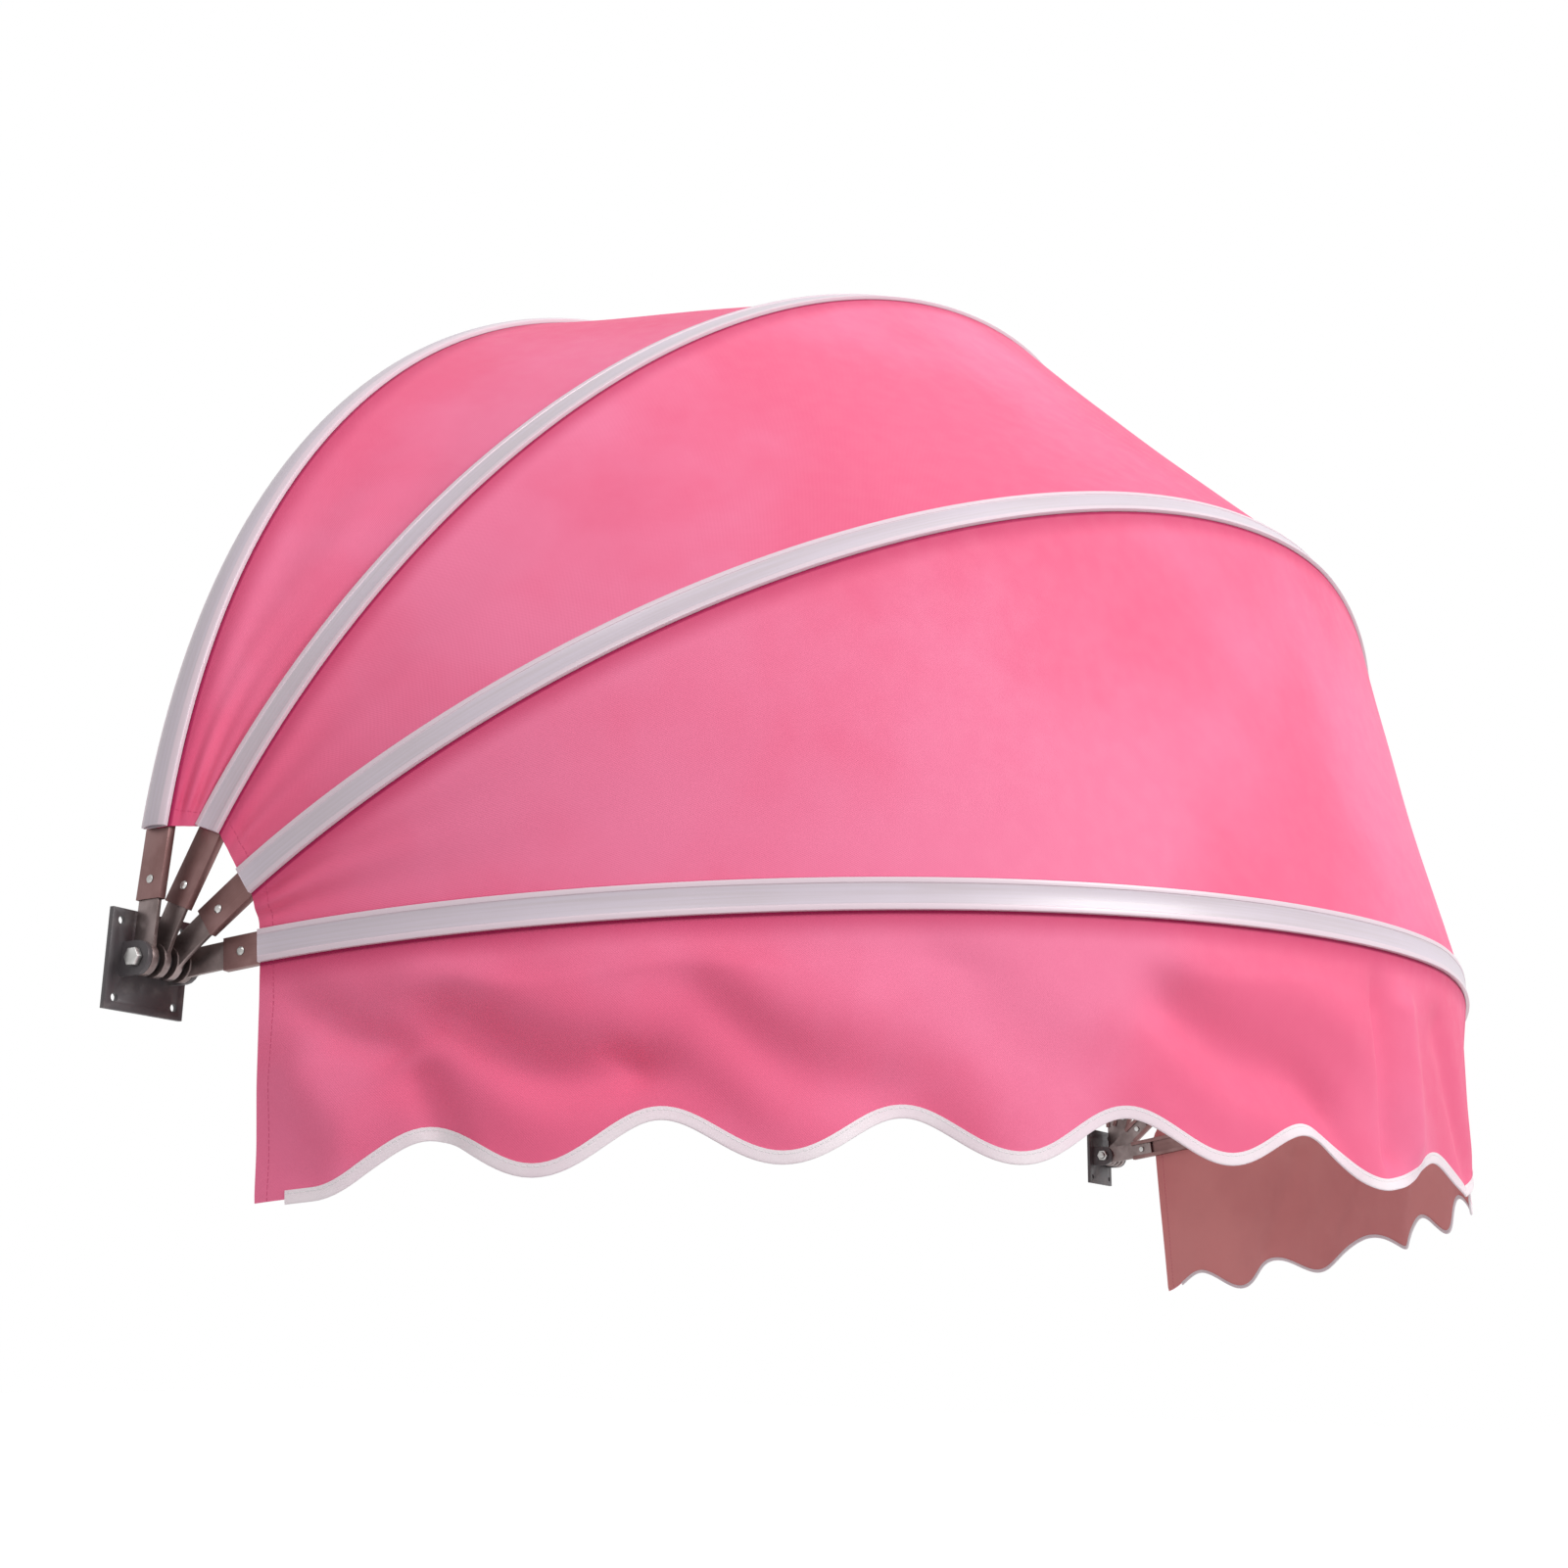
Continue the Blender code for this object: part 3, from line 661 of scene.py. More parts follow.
class Effects:
    """Shader node groups that several finishes share, each built once."""

    @staticmethod
    def group(name: str, numbers: dict[str, float], outputs: Iterable[str]) -> Nodes:
        """An empty node group with a Vector input and named number sockets.

        Args:
            name: The group's name.
            numbers: Default of each number input, by name.
            outputs: Names of the value outputs.

        Returns:
            The group's nodes, with its input and output nodes added.
        """
        tree = bpy.data.node_groups.new(name, "ShaderNodeTree")
        tree.interface.new_socket("Vector", in_out="INPUT", socket_type="NodeSocketVector")
        for label, default in numbers.items():
            socket = tree.interface.new_socket(label, in_out="INPUT", socket_type="NodeSocketFloat")
            socket.default_value = default
        for label in outputs:
            tree.interface.new_socket(label, in_out="OUTPUT", socket_type="NodeSocketFloat")
        nodes = Nodes(tree)
        nodes.add("NodeGroupInput", name="in")
        nodes.add("NodeGroupOutput", name="out")
        return nodes

    @staticmethod
    @cache
    def weave() -> bpy.types.NodeTree:
        """A plain weave: threads over and under each other, a little uneven.

        Returns:
            The node group.
        """
        nodes = Effects.group("plain_weave", {"Pitch": 0.001, "Unevenness": 0.2}, ["Height", "Shade"])
        start, end = nodes.tree.nodes["in"].outputs, nodes.tree.nodes["out"].inputs
        axes = nodes.split(start["Vector"])
        waves = []
        for axis in ("X", "Y"):
            turns = nodes.math("DIVIDE", axes[axis], start["Pitch"])
            waves.append(nodes.math("SINE", nodes.math("MULTIPLY", turns, math.pi)))
        height = nodes.math("MULTIPLY_ADD", nodes.math("MULTIPLY", *waves), 0.5, 0.5)
        stretch = nodes.add("ShaderNodeMapping", {
            "Vector": start["Vector"], "Scale": Vector((0.25, 3.0, 1.0)),
        })
        slub = nodes.add("ShaderNodeTexNoise", {
            "Vector": stretch.outputs["Vector"], "Scale": 90.0, "Detail": 3.0,
        })
        off_middle = nodes.math("SUBTRACT", slub.outputs[0], 0.5)
        uneven = nodes.math("MULTIPLY", off_middle, start["Unevenness"])
        nodes.feed(end["Height"], nodes.math("ADD", height, uneven))
        nodes.feed(end["Shade"], nodes.math("ADD", nodes.math("MULTIPLY", height, 0.5), uneven))
        return nodes.tree

    @staticmethod
    @cache
    def grain() -> bpy.types.NodeTree:
        """Fine grain for a height, and a broad soft mask for colour and gloss.

        Returns:
            The node group.
        """
        numbers = {"Grain scale": 900.0, "Patch scale": 30.0}
        nodes = Effects.group("surface_grain", numbers, ["Grain", "Patch"])
        start, end = nodes.tree.nodes["in"].outputs, nodes.tree.nodes["out"].inputs
        for output, detail in (("Grain", 2.0), ("Patch", 5.0)):
            texture = nodes.add("ShaderNodeTexNoise", {
                "Vector": start["Vector"], "Scale": start[f"{output} scale"], "Detail": detail,
            })
            nodes.feed(end[output], texture.outputs[0])
        return nodes.tree

    @staticmethod
    @cache
    def streaks() -> bpy.types.NodeTree:
        """Long fine lines along X, as an extruded or rolled profile has.

        Returns:
            The node group.
        """
        nodes = Effects.group("drawn_streaks", {"Scale": 400.0}, ["Lines"])
        start, end = nodes.tree.nodes["in"].outputs, nodes.tree.nodes["out"].inputs
        stretch = nodes.add("ShaderNodeMapping", {
            "Vector": start["Vector"], "Scale": Vector((0.012, 1.0, 1.0)),
        })
        texture = nodes.add("ShaderNodeTexNoise", {
            "Vector": stretch.outputs["Vector"], "Scale": start["Scale"], "Detail": 4.0,
        })
        nodes.feed(end["Lines"], texture.outputs[0])
        return nodes.tree


@dataclass
class Surface:
    """A material under construction, with its shader and coordinate sources."""

    name: str
    roughness: float
    metallic: float = 0.0
    nodes: Nodes = field(init=False)
    material: bpy.types.Material = field(init=False)

    def __post_init__(self) -> None:
        """Make the material and set the shader's constants."""
        self.material = bpy.data.materials.new(self.name)
        self.material.use_nodes = True
        self.nodes = Nodes(self.material.node_tree)
        self.constants({"Roughness": self.roughness, "Metallic": self.metallic})

    @property
    def shader(self) -> bpy.types.Node:
        """The material's shader."""
        return self.material.node_tree.nodes["Principled BSDF"]

    def constants(self, values: dict[str, object]) -> None:
        """Set inputs of the shader by name."""
        for name, value in values.items():
            self.nodes.feed(self.shader.inputs[name], value)

    def flat_map(self) -> bpy.types.NodeSocket:
        """The piece's own map, in metres."""
        return self.nodes.add("ShaderNodeUVMap", uv_map=FLAT_MAP).outputs[0]

    def solid(self) -> bpy.types.NodeSocket:
        """Object coordinates, in metres."""
        return self.nodes.add("ShaderNodeTexCoord").outputs["Object"]

    def attribute(self, name: str) -> bpy.types.NodeSocket:
        """A number that the piece's vertices carry."""
        return self.nodes.add("ShaderNodeAttribute", attribute_name=name).outputs["Fac"]

    def effect(self, tree: bpy.types.NodeTree, vector: bpy.types.NodeSocket,
               **values: float) -> bpy.types.NodeOutputs:
        """Place a shared effect.

        Args:
            tree: The effect's node group.
            vector: The coordinates that it follows.
            **values: Its inputs, with underscores for spaces.

        Returns:
            The effect's outputs, by name.
        """
        node = self.nodes.add("ShaderNodeGroup", node_tree=tree)
        self.nodes.feed(node.inputs["Vector"], vector)
        for label, value in values.items():
            self.nodes.feed(node.inputs[label.replace("_", " ")], value)
        return node.outputs

    def colour(self, socket: bpy.types.NodeSocket) -> None:
        """Join a colour to the shader."""
        self.nodes.feed(self.shader.inputs["Base Color"], socket)

    def gloss(self, mask: bpy.types.NodeSocket, smooth: float, rough: float) -> None:
        """Vary the roughness over the surface by a mask."""
        varied = self.nodes.ramp(mask, 0.3, 0.7, smooth, rough)
        self.nodes.feed(self.shader.inputs["Roughness"], varied)

    def bump(self, *heights: tuple[bpy.types.NodeSocket, float]) -> None:
        """Join heights to the shader's normal.

        Args:
            *heights: Each height and its depth in metres.
        """
        normal = None
        for height, depth in heights:
            node = self.nodes.add("ShaderNodeBump", {"Height": height, "Distance": depth})
            if normal is not None:
                self.nodes.feed(node.inputs["Normal"], normal)
            normal = node.outputs["Normal"]
        self.nodes.feed(self.shader.inputs["Normal"], normal)


# Finishes

@dataclass(frozen=True)
class AwningCloth:
    """Taut coated polyester: an even weave, soft colour drift, and painted shade at the strips: a dark
    line below each strip, a fainter one above it, and a painted shadow band under the dark line.

    A fade is where a shade begins and ends, as a distance from the strip's edge or from the
    stitch line in metres. A range is where a step in a pattern's own values begins and ends.
    """

    name: str
    light: Colour
    deep: Colour
    # Painted shade at the strips: a dark line below each strip, a fainter one above it, and a painted
    # shadow band under the dark line. The shadow colour also colours the end stitches.
    edge_shade: Colour
    edge_shade_fade: Limits = (0.0016, 0.0034)
    upper_edge_shade: float = 0.45
    upper_edge_shade_fade: Limits = (0.0004, 0.0026)
    shadow: Colour = (0.62, 0.06, 0.16)
    shadow_share: float = 0.85
    shadow_fade: Limits = (0.001, 0.024)
    grain: float = 60.0
    patches: float = 3.2
    patch_range: Limits = (0.38, 0.64)
    thread: float = 0.0009
    thread_shade: float = 0.10
    thread_depth: float = 0.00012
    stitch_place: float = 0.0115
    stitch_period: float = 0.0046
    stitch_share: float = 0.6
    stitch_fade: Limits = (0.0002, 0.0007)
    stitch_range: Limits = (0.30, 0.40)
    stitch_depth: float = 0.0003
    roughness: float = 0.62
    smoother: float = 0.05
    rougher: float = 0.06
    painted_edge_shade: bool = True

    def build(self) -> bpy.types.Material:
        """Make the material.

        Returns:
            The material.
        """
        surface = Surface(self.name, self.roughness)
        nodes = surface.nodes
        weave = surface.effect(Effects.weave(), surface.flat_map(), Pitch=self.thread)
        drift = surface.effect(Effects.grain(), surface.solid(),
                               Grain_scale=self.grain, Patch_scale=self.patches)
        base = nodes.mix(nodes.ramp(drift["Patch"], *self.patch_range), self.deep, self.light)
        shade_share = nodes.math("MULTIPLY", weave["Shade"], self.thread_shade)
        woven = nodes.mix(shade_share, base, self.deep)
        # Painted shade and painted shadow beside the strips
        if self.painted_edge_shade:
            woven = self.shaded(surface, woven)
        stitch = self.end_stitches(surface)
        surface.colour(nodes.mix(stitch, woven, self.shadow))
        surface.gloss(drift["Grain"], self.roughness - self.smoother, self.roughness + self.rougher)
        surface.bump((weave["Height"], self.thread_depth), (stitch, -self.stitch_depth))
        surface.constants({
            "Specular IOR Level": 0.25,
            "Sheen Weight": 0.08,
            "Sheen Roughness": 0.4,
            "Sheen Tint": (1.0, 0.55, 0.68),
        })
        return surface.material

    def shaded(self, surface: Surface, woven: bpy.types.NodeSocket) -> bpy.types.NodeSocket:
        """The cloth's colour with painted shade beside the strips: a dark line at their edges and a
        painted shadow band below them.

        Args:
            surface: The material that is being built.
            woven: The cloth's own colour.

        Returns:
            The shaded colour.
        """
        nodes = surface.nodes
        below = nodes.ramp(surface.attribute("below_strip"), *self.edge_shade_fade, 1.0, 0.0)
        above = nodes.ramp(surface.attribute("above_strip"), *self.upper_edge_shade_fade,
                           self.upper_edge_shade, 0.0)
        shadow = nodes.ramp(surface.attribute("below_strip"), *self.shadow_fade,
                            self.shadow_share, 0.0)
        shaded = nodes.mix(shadow, woven, self.shadow)
        return nodes.mix(nodes.math("MAXIMUM", below, above), shaded, self.edge_shade)

    def end_stitches(self, surface: Surface) -> bpy.types.NodeSocket:
        """The line of stitches along the sewn hem at each end of the cloth.

        Args:
            surface: The material that is being built.

        Returns:
            A mask, strongest on a stitch.
        """
        nodes = surface.nodes
        past = nodes.math("SUBTRACT", surface.attribute("from_end"), self.stitch_place)
        line = nodes.ramp(nodes.math("ABSOLUTE", past), *self.stitch_fade, self.stitch_share, 0.0)
        across = nodes.split(surface.flat_map())["Y"]
        turn = nodes.math("FRACT", nodes.math("DIVIDE", across, self.stitch_period))
        middle = nodes.math("ABSOLUTE", nodes.math("SUBTRACT", turn, 0.5))
        dash = nodes.ramp(middle, *self.stitch_range, 1.0, 0.0)
        return nodes.math("MULTIPLY", line, dash)


@dataclass(frozen=True)
class BindingTape:
    """Ribbed white tape with one line of stitches."""

    name: str
    light: Colour
    deep: Colour
    thread: Colour
    rib: float = 0.0007
    rib_depth: float = 0.0001
    patches: float = 14.0
    patch_range: Limits = (0.35, 0.68)
    stitch_length: float = 0.0032
    stitch_gap: float = 0.0012
    stitch_place: float = 0.0021
    stitch_width: float = 0.0007
    stitch_height: float = 0.0003
    roughness: float = 0.66

    def build(self) -> bpy.types.Material:
        """Make the material.

        Returns:
            The material.
        """
        surface = Surface(self.name, self.roughness)
        nodes = surface.nodes
        flat = surface.flat_map()
        weave = surface.effect(Effects.weave(), flat, Pitch=self.rib, Unevenness=0.3)
        drift = surface.effect(Effects.grain(), surface.solid(), Patch_scale=self.patches)
        base = nodes.mix(nodes.ramp(drift["Patch"], *self.patch_range), self.deep, self.light)
        stitch = self.stitches(nodes, flat)
        surface.colour(nodes.mix(stitch, base, self.thread))
        surface.bump((weave["Height"], self.rib_depth), (stitch, self.stitch_height))
        surface.constants({"Sheen Weight": 0.15})
        return surface.material

    def stitches(self, nodes: Nodes, flat: bpy.types.NodeSocket) -> bpy.types.NodeSocket:
        """The line of stitches along the tape.

        Args:
            nodes: The material's nodes.
            flat: The tape's map.

        Returns:
            A mask, 1 on a stitch.
        """
        axes = nodes.split(flat)
        period = self.stitch_length + self.stitch_gap
        turn = nodes.math("FRACT", nodes.math("DIVIDE", axes["X"], period))
        middle = nodes.math("ABSOLUTE", nodes.math("SUBTRACT", turn, 0.5))
        share = self.stitch_length / period / 2
        along = nodes.ramp(middle, share - 0.06, share + 0.04, 1.0, 0.0)
        off_line = nodes.math("ABSOLUTE", nodes.math("SUBTRACT", axes["Y"], self.stitch_place))
        half = self.stitch_width / 2
        across = nodes.ramp(off_line, half * 0.6, half * 1.4, 1.0, 0.0)
        return nodes.math("MULTIPLY", along, across)


@dataclass(frozen=True)
class CoverPlastic:
    """Extruded plastic strip: a pale lilac face between lighter pinkish rims."""

    name: str
    face: Colour
    face_shade: Colour
    rim: Colour
    half_face: float = 0.0078
    rim_blend: float = 0.0006
    line_share: float = 0.6
    patch_range: Limits = (0.36, 0.62)
    gloss: Limits = (0.28, 0.46)
    line_depth: float = 0.00002
    grain_depth: float = 0.00001
    roughness: float = 0.34

    def build(self) -> bpy.types.Material:
        """Make the material.

        Returns:
            The material.
        """
        surface = Surface(self.name, self.roughness)
        nodes = surface.nodes
        flat = surface.flat_map()
        lines = surface.effect(Effects.streaks(), flat, Scale=420.0)
        drift = surface.effect(Effects.grain(), surface.solid(), Grain_scale=700.0, Patch_scale=7.0)
        patches = nodes.math("MULTIPLY", drift["Patch"], 1.0 - self.line_share)
        soft = nodes.math("MULTIPLY_ADD", lines["Lines"], self.line_share, patches)
        face = nodes.mix(nodes.ramp(soft, *self.patch_range), self.face_shade, self.face)
        off_middle = nodes.math("ABSOLUTE", nodes.split(flat)["Y"])
        rim = nodes.ramp(off_middle, self.half_face - self.rim_blend, self.half_face + self.rim_blend)
        surface.colour(nodes.mix(rim, face, self.rim))
        surface.gloss(soft, *self.gloss)
        surface.bump((lines["Lines"], self.line_depth), (drift["Grain"], self.grain_depth))
        surface.constants({"Coat Weight": 0.15, "Coat Roughness": 0.2})
        return surface.material


@dataclass(frozen=True)
class DrawnMetal:
    """Bare or plated metal with fine drawn lines and duller patches."""

    name: str
    bright: Colour
    dull: Colour
    roughness: float
    has_map: bool = False
    patch_range: Limits = (0.36, 0.66)
    smoother: float = 0.08
    rougher: float = 0.14
    line_depth: float = 0.00004
    grain_depth: float = 0.00003

    def build(self) -> bpy.types.Material:
        """Make the material.

        Returns:
            The material.
        """
        surface = Surface(self.name, self.roughness, metallic=1.0)
        nodes = surface.nodes
        vector = surface.flat_map() if self.has_map else surface.solid()
        lines = surface.effect(Effects.streaks(), vector, Scale=900.0)
        drift = surface.effect(Effects.grain(), surface.solid(), Grain_scale=1400.0, Patch_scale=38.0)
        patches = nodes.ramp(drift["Patch"], *self.patch_range)
        surface.colour(nodes.mix(patches, self.bright, self.dull))
        half_patch = nodes.math("MULTIPLY", drift["Patch"], 0.5)
        mixed = nodes.math("MULTIPLY_ADD", lines["Lines"], 0.5, half_patch)
        surface.gloss(mixed, self.roughness - self.smoother, self.roughness + self.rougher)
        surface.bump((lines["Lines"], self.line_depth), (drift["Grain"], self.grain_depth))
        return surface.material


@dataclass(frozen=True)
class CoatedSurface:
    """Powder coat or moulded plastic: a fine even texture with faint wear."""

    name: str
    colour: Colour
    worn: Colour
    roughness: float
    texture: float = 0.00005
    wear_range: Limits = (0.5, 0.75)
    smoother: float = 0.06
    rougher: float = 0.1

    def build(self) -> bpy.types.Material:
        """Make the material.

        Returns:
            The material.
        """
        surface = Surface(self.name, self.roughness)
        nodes = surface.nodes
        drift = surface.effect(Effects.grain(), surface.solid(), Grain_scale=1100.0, Patch_scale=55.0)
        wear = nodes.ramp(drift["Patch"], *self.wear_range)
        surface.colour(nodes.mix(wear, self.colour, self.worn))
        surface.gloss(drift["Patch"], self.roughness - self.smoother, self.roughness + self.rougher)
        surface.bump((drift["Grain"], self.texture))
        return surface.material


@dataclass
class Finishes:
    """Every finish of the awning, built once."""

    cloth: bpy.types.Material = field(init=False)
    cloth_back: bpy.types.Material = field(init=False)
    tape: bpy.types.Material = field(init=False)
    strip: bpy.types.Material = field(init=False)
    bow: bpy.types.Material = field(init=False)
    zinc: bpy.types.Material = field(init=False)
    fitting: bpy.types.Material = field(init=False)
    dark_steel: bpy.types.Material = field(init=False)
    black_plastic: bpy.types.Material = field(init=False)

    def __post_init__(self) -> None:
        """Build the materials."""
        # Painted shade: the dark crimson line at each strip's edge
        edge_shade_crimson = (0.40, 0.012, 0.085)
        self.cloth = AwningCloth(
            "pink_cloth", (0.90, 0.204, 0.362), (0.86, 0.138, 0.268), edge_shade_crimson).build()
        self.cloth_back = AwningCloth(
            "pink_cloth_back", (0.88, 0.345, 0.345), (0.76, 0.27, 0.275), edge_shade_crimson,
            roughness=0.75, painted_edge_shade=False).build()
        self.tape = BindingTape(
            "hem_tape", (0.92, 0.82, 0.86), (0.86, 0.72, 0.78), (0.95, 0.90, 0.92)).build()
        self.strip = CoverPlastic(
            "strip_plastic", (0.64, 0.56, 0.635), (0.585, 0.505, 0.55), (0.74, 0.60, 0.665)).build()
        # Painted shade and painted reflection: the bows' dark reddish brown stands in for deep shade and
        # the pink cloth seen in the aluminium.
        self.bow = DrawnMetal(
            "bow_aluminium_painted_shade", (0.25, 0.145, 0.14), (0.21, 0.115, 0.11), 0.42, has_map=True).build()
        self.zinc = DrawnMetal(
            "zinc_plate", (0.60, 0.59, 0.58), (0.40, 0.39, 0.38), 0.34).build()
        # Painted shade: the end fittings' dark brownish tone stands in for the shade under the cloth.
        self.fitting = DrawnMetal(
            "fitting_steel_painted_shade", (0.27, 0.215, 0.21), (0.18, 0.14, 0.135), 0.40).build()
        self.dark_steel = CoatedSurface(
            "dark_steel_coat", (0.07, 0.06, 0.065), (0.13, 0.11, 0.11), 0.45).build()
        self.black_plastic = CoatedSurface(
            "black_moulding", (0.025, 0.024, 0.025), (0.05, 0.048, 0.05), 0.42,
            texture=0.00008).build()


# Pieces on the hoops

@dataclass
class CoverStrip:
    """The snap-on cover over a bow, which holds the edges of the fabric.

    Its outside stands proud of the hoop's outer line. A strip with a crown is rounded across
    its width and open at its ends. One without has a flat face, sunk between two rims.
    """

    hoop: Hoop
    finish: bpy.types.Material
    half_width: float = STRIP_HALF_WIDTH
    thickness: float = 0.0038
    proud: float = 0.0014
    rim_width: float = 0.0042
    recess: float = 0.0008
    crown: float = 0.0
    crown_lines: int = 13
    end_wall: float = 0.0009
    end_depth: float = 0.012
    edge_round: float = 0.0006
    columns: int = 150

    def build(self) -> bpy.types.Object:
        """Model the strip flat and lay it on its bow.

        Returns:
            The finished strip.
        """
        rail = self.hoop.cover_rail()
        inner = self.half_width - self.rim_width
        across = (-self.half_width, -inner, inner, self.half_width)
        if self.crown:
            across = tuple(np.linspace(-self.half_width, self.half_width, self.crown_lines))
        along = np.linspace(0, rail.length, self.columns + 1)
        piece = flat_grid(f"cover_strip_{self.hoop.name}", along, across)
        set_coordinates(piece, coordinates(piece) + np.array([0.0, 0.0, self.proud]))
        select_faces(piece, lambda centre, normal: True)
        extrude((0, 0, -self.thickness))
        finish_edit()
        face_outwards(piece)
        if self.crown:
            self.raise_crown(piece)
        else:
            self.sink_face(piece, inner, rail.length)
        round_edges(piece, self.edge_round, segments=3, degrees=50)
        if self.crown:
            self.open_ends(piece, rail.length)
        lay_on_rail(piece, self.hoop, rail)
        dress(piece, self.finish)
        shade(piece, 35)
        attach(piece, self.hoop.body)
        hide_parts(f"{self.hoop.node}_cover_strip")
        return piece

    def open_ends(self, piece: bpy.types.Object, length: float) -> None:
        """Hollow the strip's two cut ends.

        Args:
            piece: The strip, still flat.
            length: Its length.
        """
        for place, inwards in ((0.0, 1.0), (length, -1.0)):
            select_faces(piece, lambda centre, normal: abs(centre.x - place) < TOUCH
                         and abs(normal.x) > 0.99)
            bpy.ops.mesh.inset(thickness=self.end_wall, depth=0.0, use_even_offset=True)
            extrude((inwards * self.end_depth, 0, 0))
            finish_edit()

    def raise_crown(self, piece: bpy.types.Object) -> None:
        """Round the strip up across its width.

        Args:
            piece: The strip, still flat.
        """
        points = coordinates(piece)
        outer = points[:, 2] > self.proud - self.thickness / 2
        rise = self.crown * (1 - (points[:, 1] / self.half_width) ** 2)
        points[:, 2] += np.where(outer, rise, 0.0)
        set_coordinates(piece, points)

    def sink_face(self, piece: bpy.types.Object, inner: float, length: float) -> None:
        """Press the strip's middle face in between its two rims.

        Args:
            piece: The strip, still flat.
            inner: Half the width of the middle face.
            length: The strip's length.
        """
        select_faces(piece, lambda centre, normal: abs(centre.y) < inner and normal.z > 0.5
                     and TOUCH < centre.x < length - TOUCH)
        extrude((0, 0, 0))
        bpy.ops.transform.translate(value=(0, 0, -self.recess))
        finish_edit()


@dataclass
class Bow:
    """A lipped aluminium channel bent to its hoop, open towards the inside."""

    hoop: Hoop
    finish: bpy.types.Material
    width: float = 0.025
    wall: float = 0.0012
    lip: float = 0.005
    edge_round: float = 0.0003
    columns: int = 150

    def build(self) -> bpy.types.Object:
        """Model the channel flat and lay it on its hoop.

        Returns:
            The finished bow.
        """
        rail = self.hoop.bow_rail()
        half = self.width / 2 - self.wall / 2
        top = -(BOW_TOP + self.wall / 2)
        bottom = top - (BOW_BOTTOM - BOW_TOP - self.wall)
        piece = flat_grid(f"bow_{self.hoop.name}", self.places(rail), (-half, half))
        set_coordinates(piece, coordinates(piece) + np.array([0, 0, top]))
        select_edges(piece, lambda start, end: abs(abs(start.y) - half) < TOUCH
                     and abs(start.y - end.y) < TOUCH)
        extrude((0, 0, bottom - top))
        finish_edit()
        for side in (-1, 1):
            select_edges(piece, lambda start, end: abs(start.y - side * half) < TOUCH
                         and abs(end.y - side * half) < TOUCH
                         and max(start.z, end.z) < bottom + TOUCH)
            extrude((0, -side * (self.lip - self.wall / 2), 0))
            finish_edit()
        apply_modifier(piece, "SOLIDIFY", thickness=self.wall, offset=0.0, use_even_offset=True)
        round_edges(piece, self.edge_round, segments=2, degrees=50)
        lay_on_rail(piece, self.hoop, rail)
        dress(piece, self.finish)
        shade(piece, 35)
        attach(piece, self.hoop.body)
        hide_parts(self.hoop.node)
        return piece

    def places(self, rail: Rail) -> Array:
        """Lines across the bow, with the straight bare ends kept whole.

        Args:
            rail: The bow's line.

        Returns:
            Running lengths along it.
        """
        bare = float(rail.lengths[1])
        middle = np.linspace(bare, rail.length - bare, self.columns - 1)
        return np.concatenate([[0.0], middle, [rail.length]])


# Fabric

def normals_of(surface: Array) -> Array:
    """Unit normals of a grid of points, by rows and columns."""
    return unit(np.cross(np.gradient(surface, axis=0), np.gradient(surface, axis=1)))


def away_from_pivot(surface: Array) -> Array:
    """Directions straight out from a point inside the dome."""
    return unit(surface - INSIDE)


def outward_normals(surface: Array) -> Array:
    """Unit normals of a grid of points, turned away from the pivot line.

    Args:
        surface: The points, by columns and rows.

    Returns:
        A grid of directions.
    """
    normal = normals_of(surface)
    sign = np.sign((normal * away_from_pivot(surface)).sum(axis=2))
    return normal * sign[..., None]


def soft_noise(first: Array, second: Array, seed: float) -> Array:
    """Smooth noise from about -0.5 to 0.5 over two coordinates."""
    values = [noise.noise(Vector((a, b, seed))) for a, b in zip(first.ravel(), second.ravel())]
    return np.array(values).reshape(first.shape)


def runs_across(surface: Array) -> Array:
    """Running lengths across a grid of points, from its first row."""
    steps = np.linalg.norm(np.diff(surface, axis=1), axis=2)
    return np.concatenate([np.zeros((len(surface), 1)), np.cumsum(steps, axis=1)], axis=1)


def graded(count: int, fine: float, steps: int) -> Array:
    """Even places from 0 to 1, with extra ones close to both ends.

    Args:
        count: Even steps over the whole.
        fine: Width of the finer stretch at each end.
        steps: Steps in each finer stretch.

    Returns:
        The places, in order.
    """
    even = np.linspace(0.0, 1.0, count + 1)
    inner = even[(even > fine * 1.2) & (even < 1 - fine * 1.2)]
    ends = np.linspace(0.0, fine, steps + 1)
    return np.concatenate([ends, inner, 1 - ends[::-1]])


@dataclass
class Cloth:
    """A sheet of awning cloth that is made from a grid of points."""

    name: str
    outer: bpy.types.Material
    inner: bpy.types.Material

    def sheet_from(self, surface: Array, flat: Array, marks: dict[str, Array]) -> bpy.types.Object:
        """A closed sheet of the cloth's thickness on a grid of points.

        Args:
            surface: The middle surface, by columns and rows.
            flat: Map values of the same grid, in metres.
            marks: Numbers for the material to read, by name.

        Returns:
            The finished mesh, not yet riding on a body.
        """
        piece, column, row = grid_on(self.name, surface)
        write_map(piece, flat[column, row])
        for name, values in marks.items():
            write_attribute(piece, name, values[column, row])
        if (normals_of(surface) * away_from_pivot(surface)).sum() <= 0:
            edit_all(piece)
            bpy.ops.mesh.flip_normals()
            finish_edit()
        dress(piece, self.outer, self.inner)
        apply_modifier(piece, "SOLIDIFY", thickness=FABRIC_THICKNESS, offset=0.0,
                       use_even_offset=True, material_offset=Side.INNER.value - Side.OUTER.value)
        shade(piece, 60)
        return piece

    @staticmethod
    def from_end(flat: Array) -> Array:
        """Distance from the nearer end of the cloth, from its map values."""
        return np.minimum(flat[..., 0], flat[-1:, :, 0] - flat[..., 0])


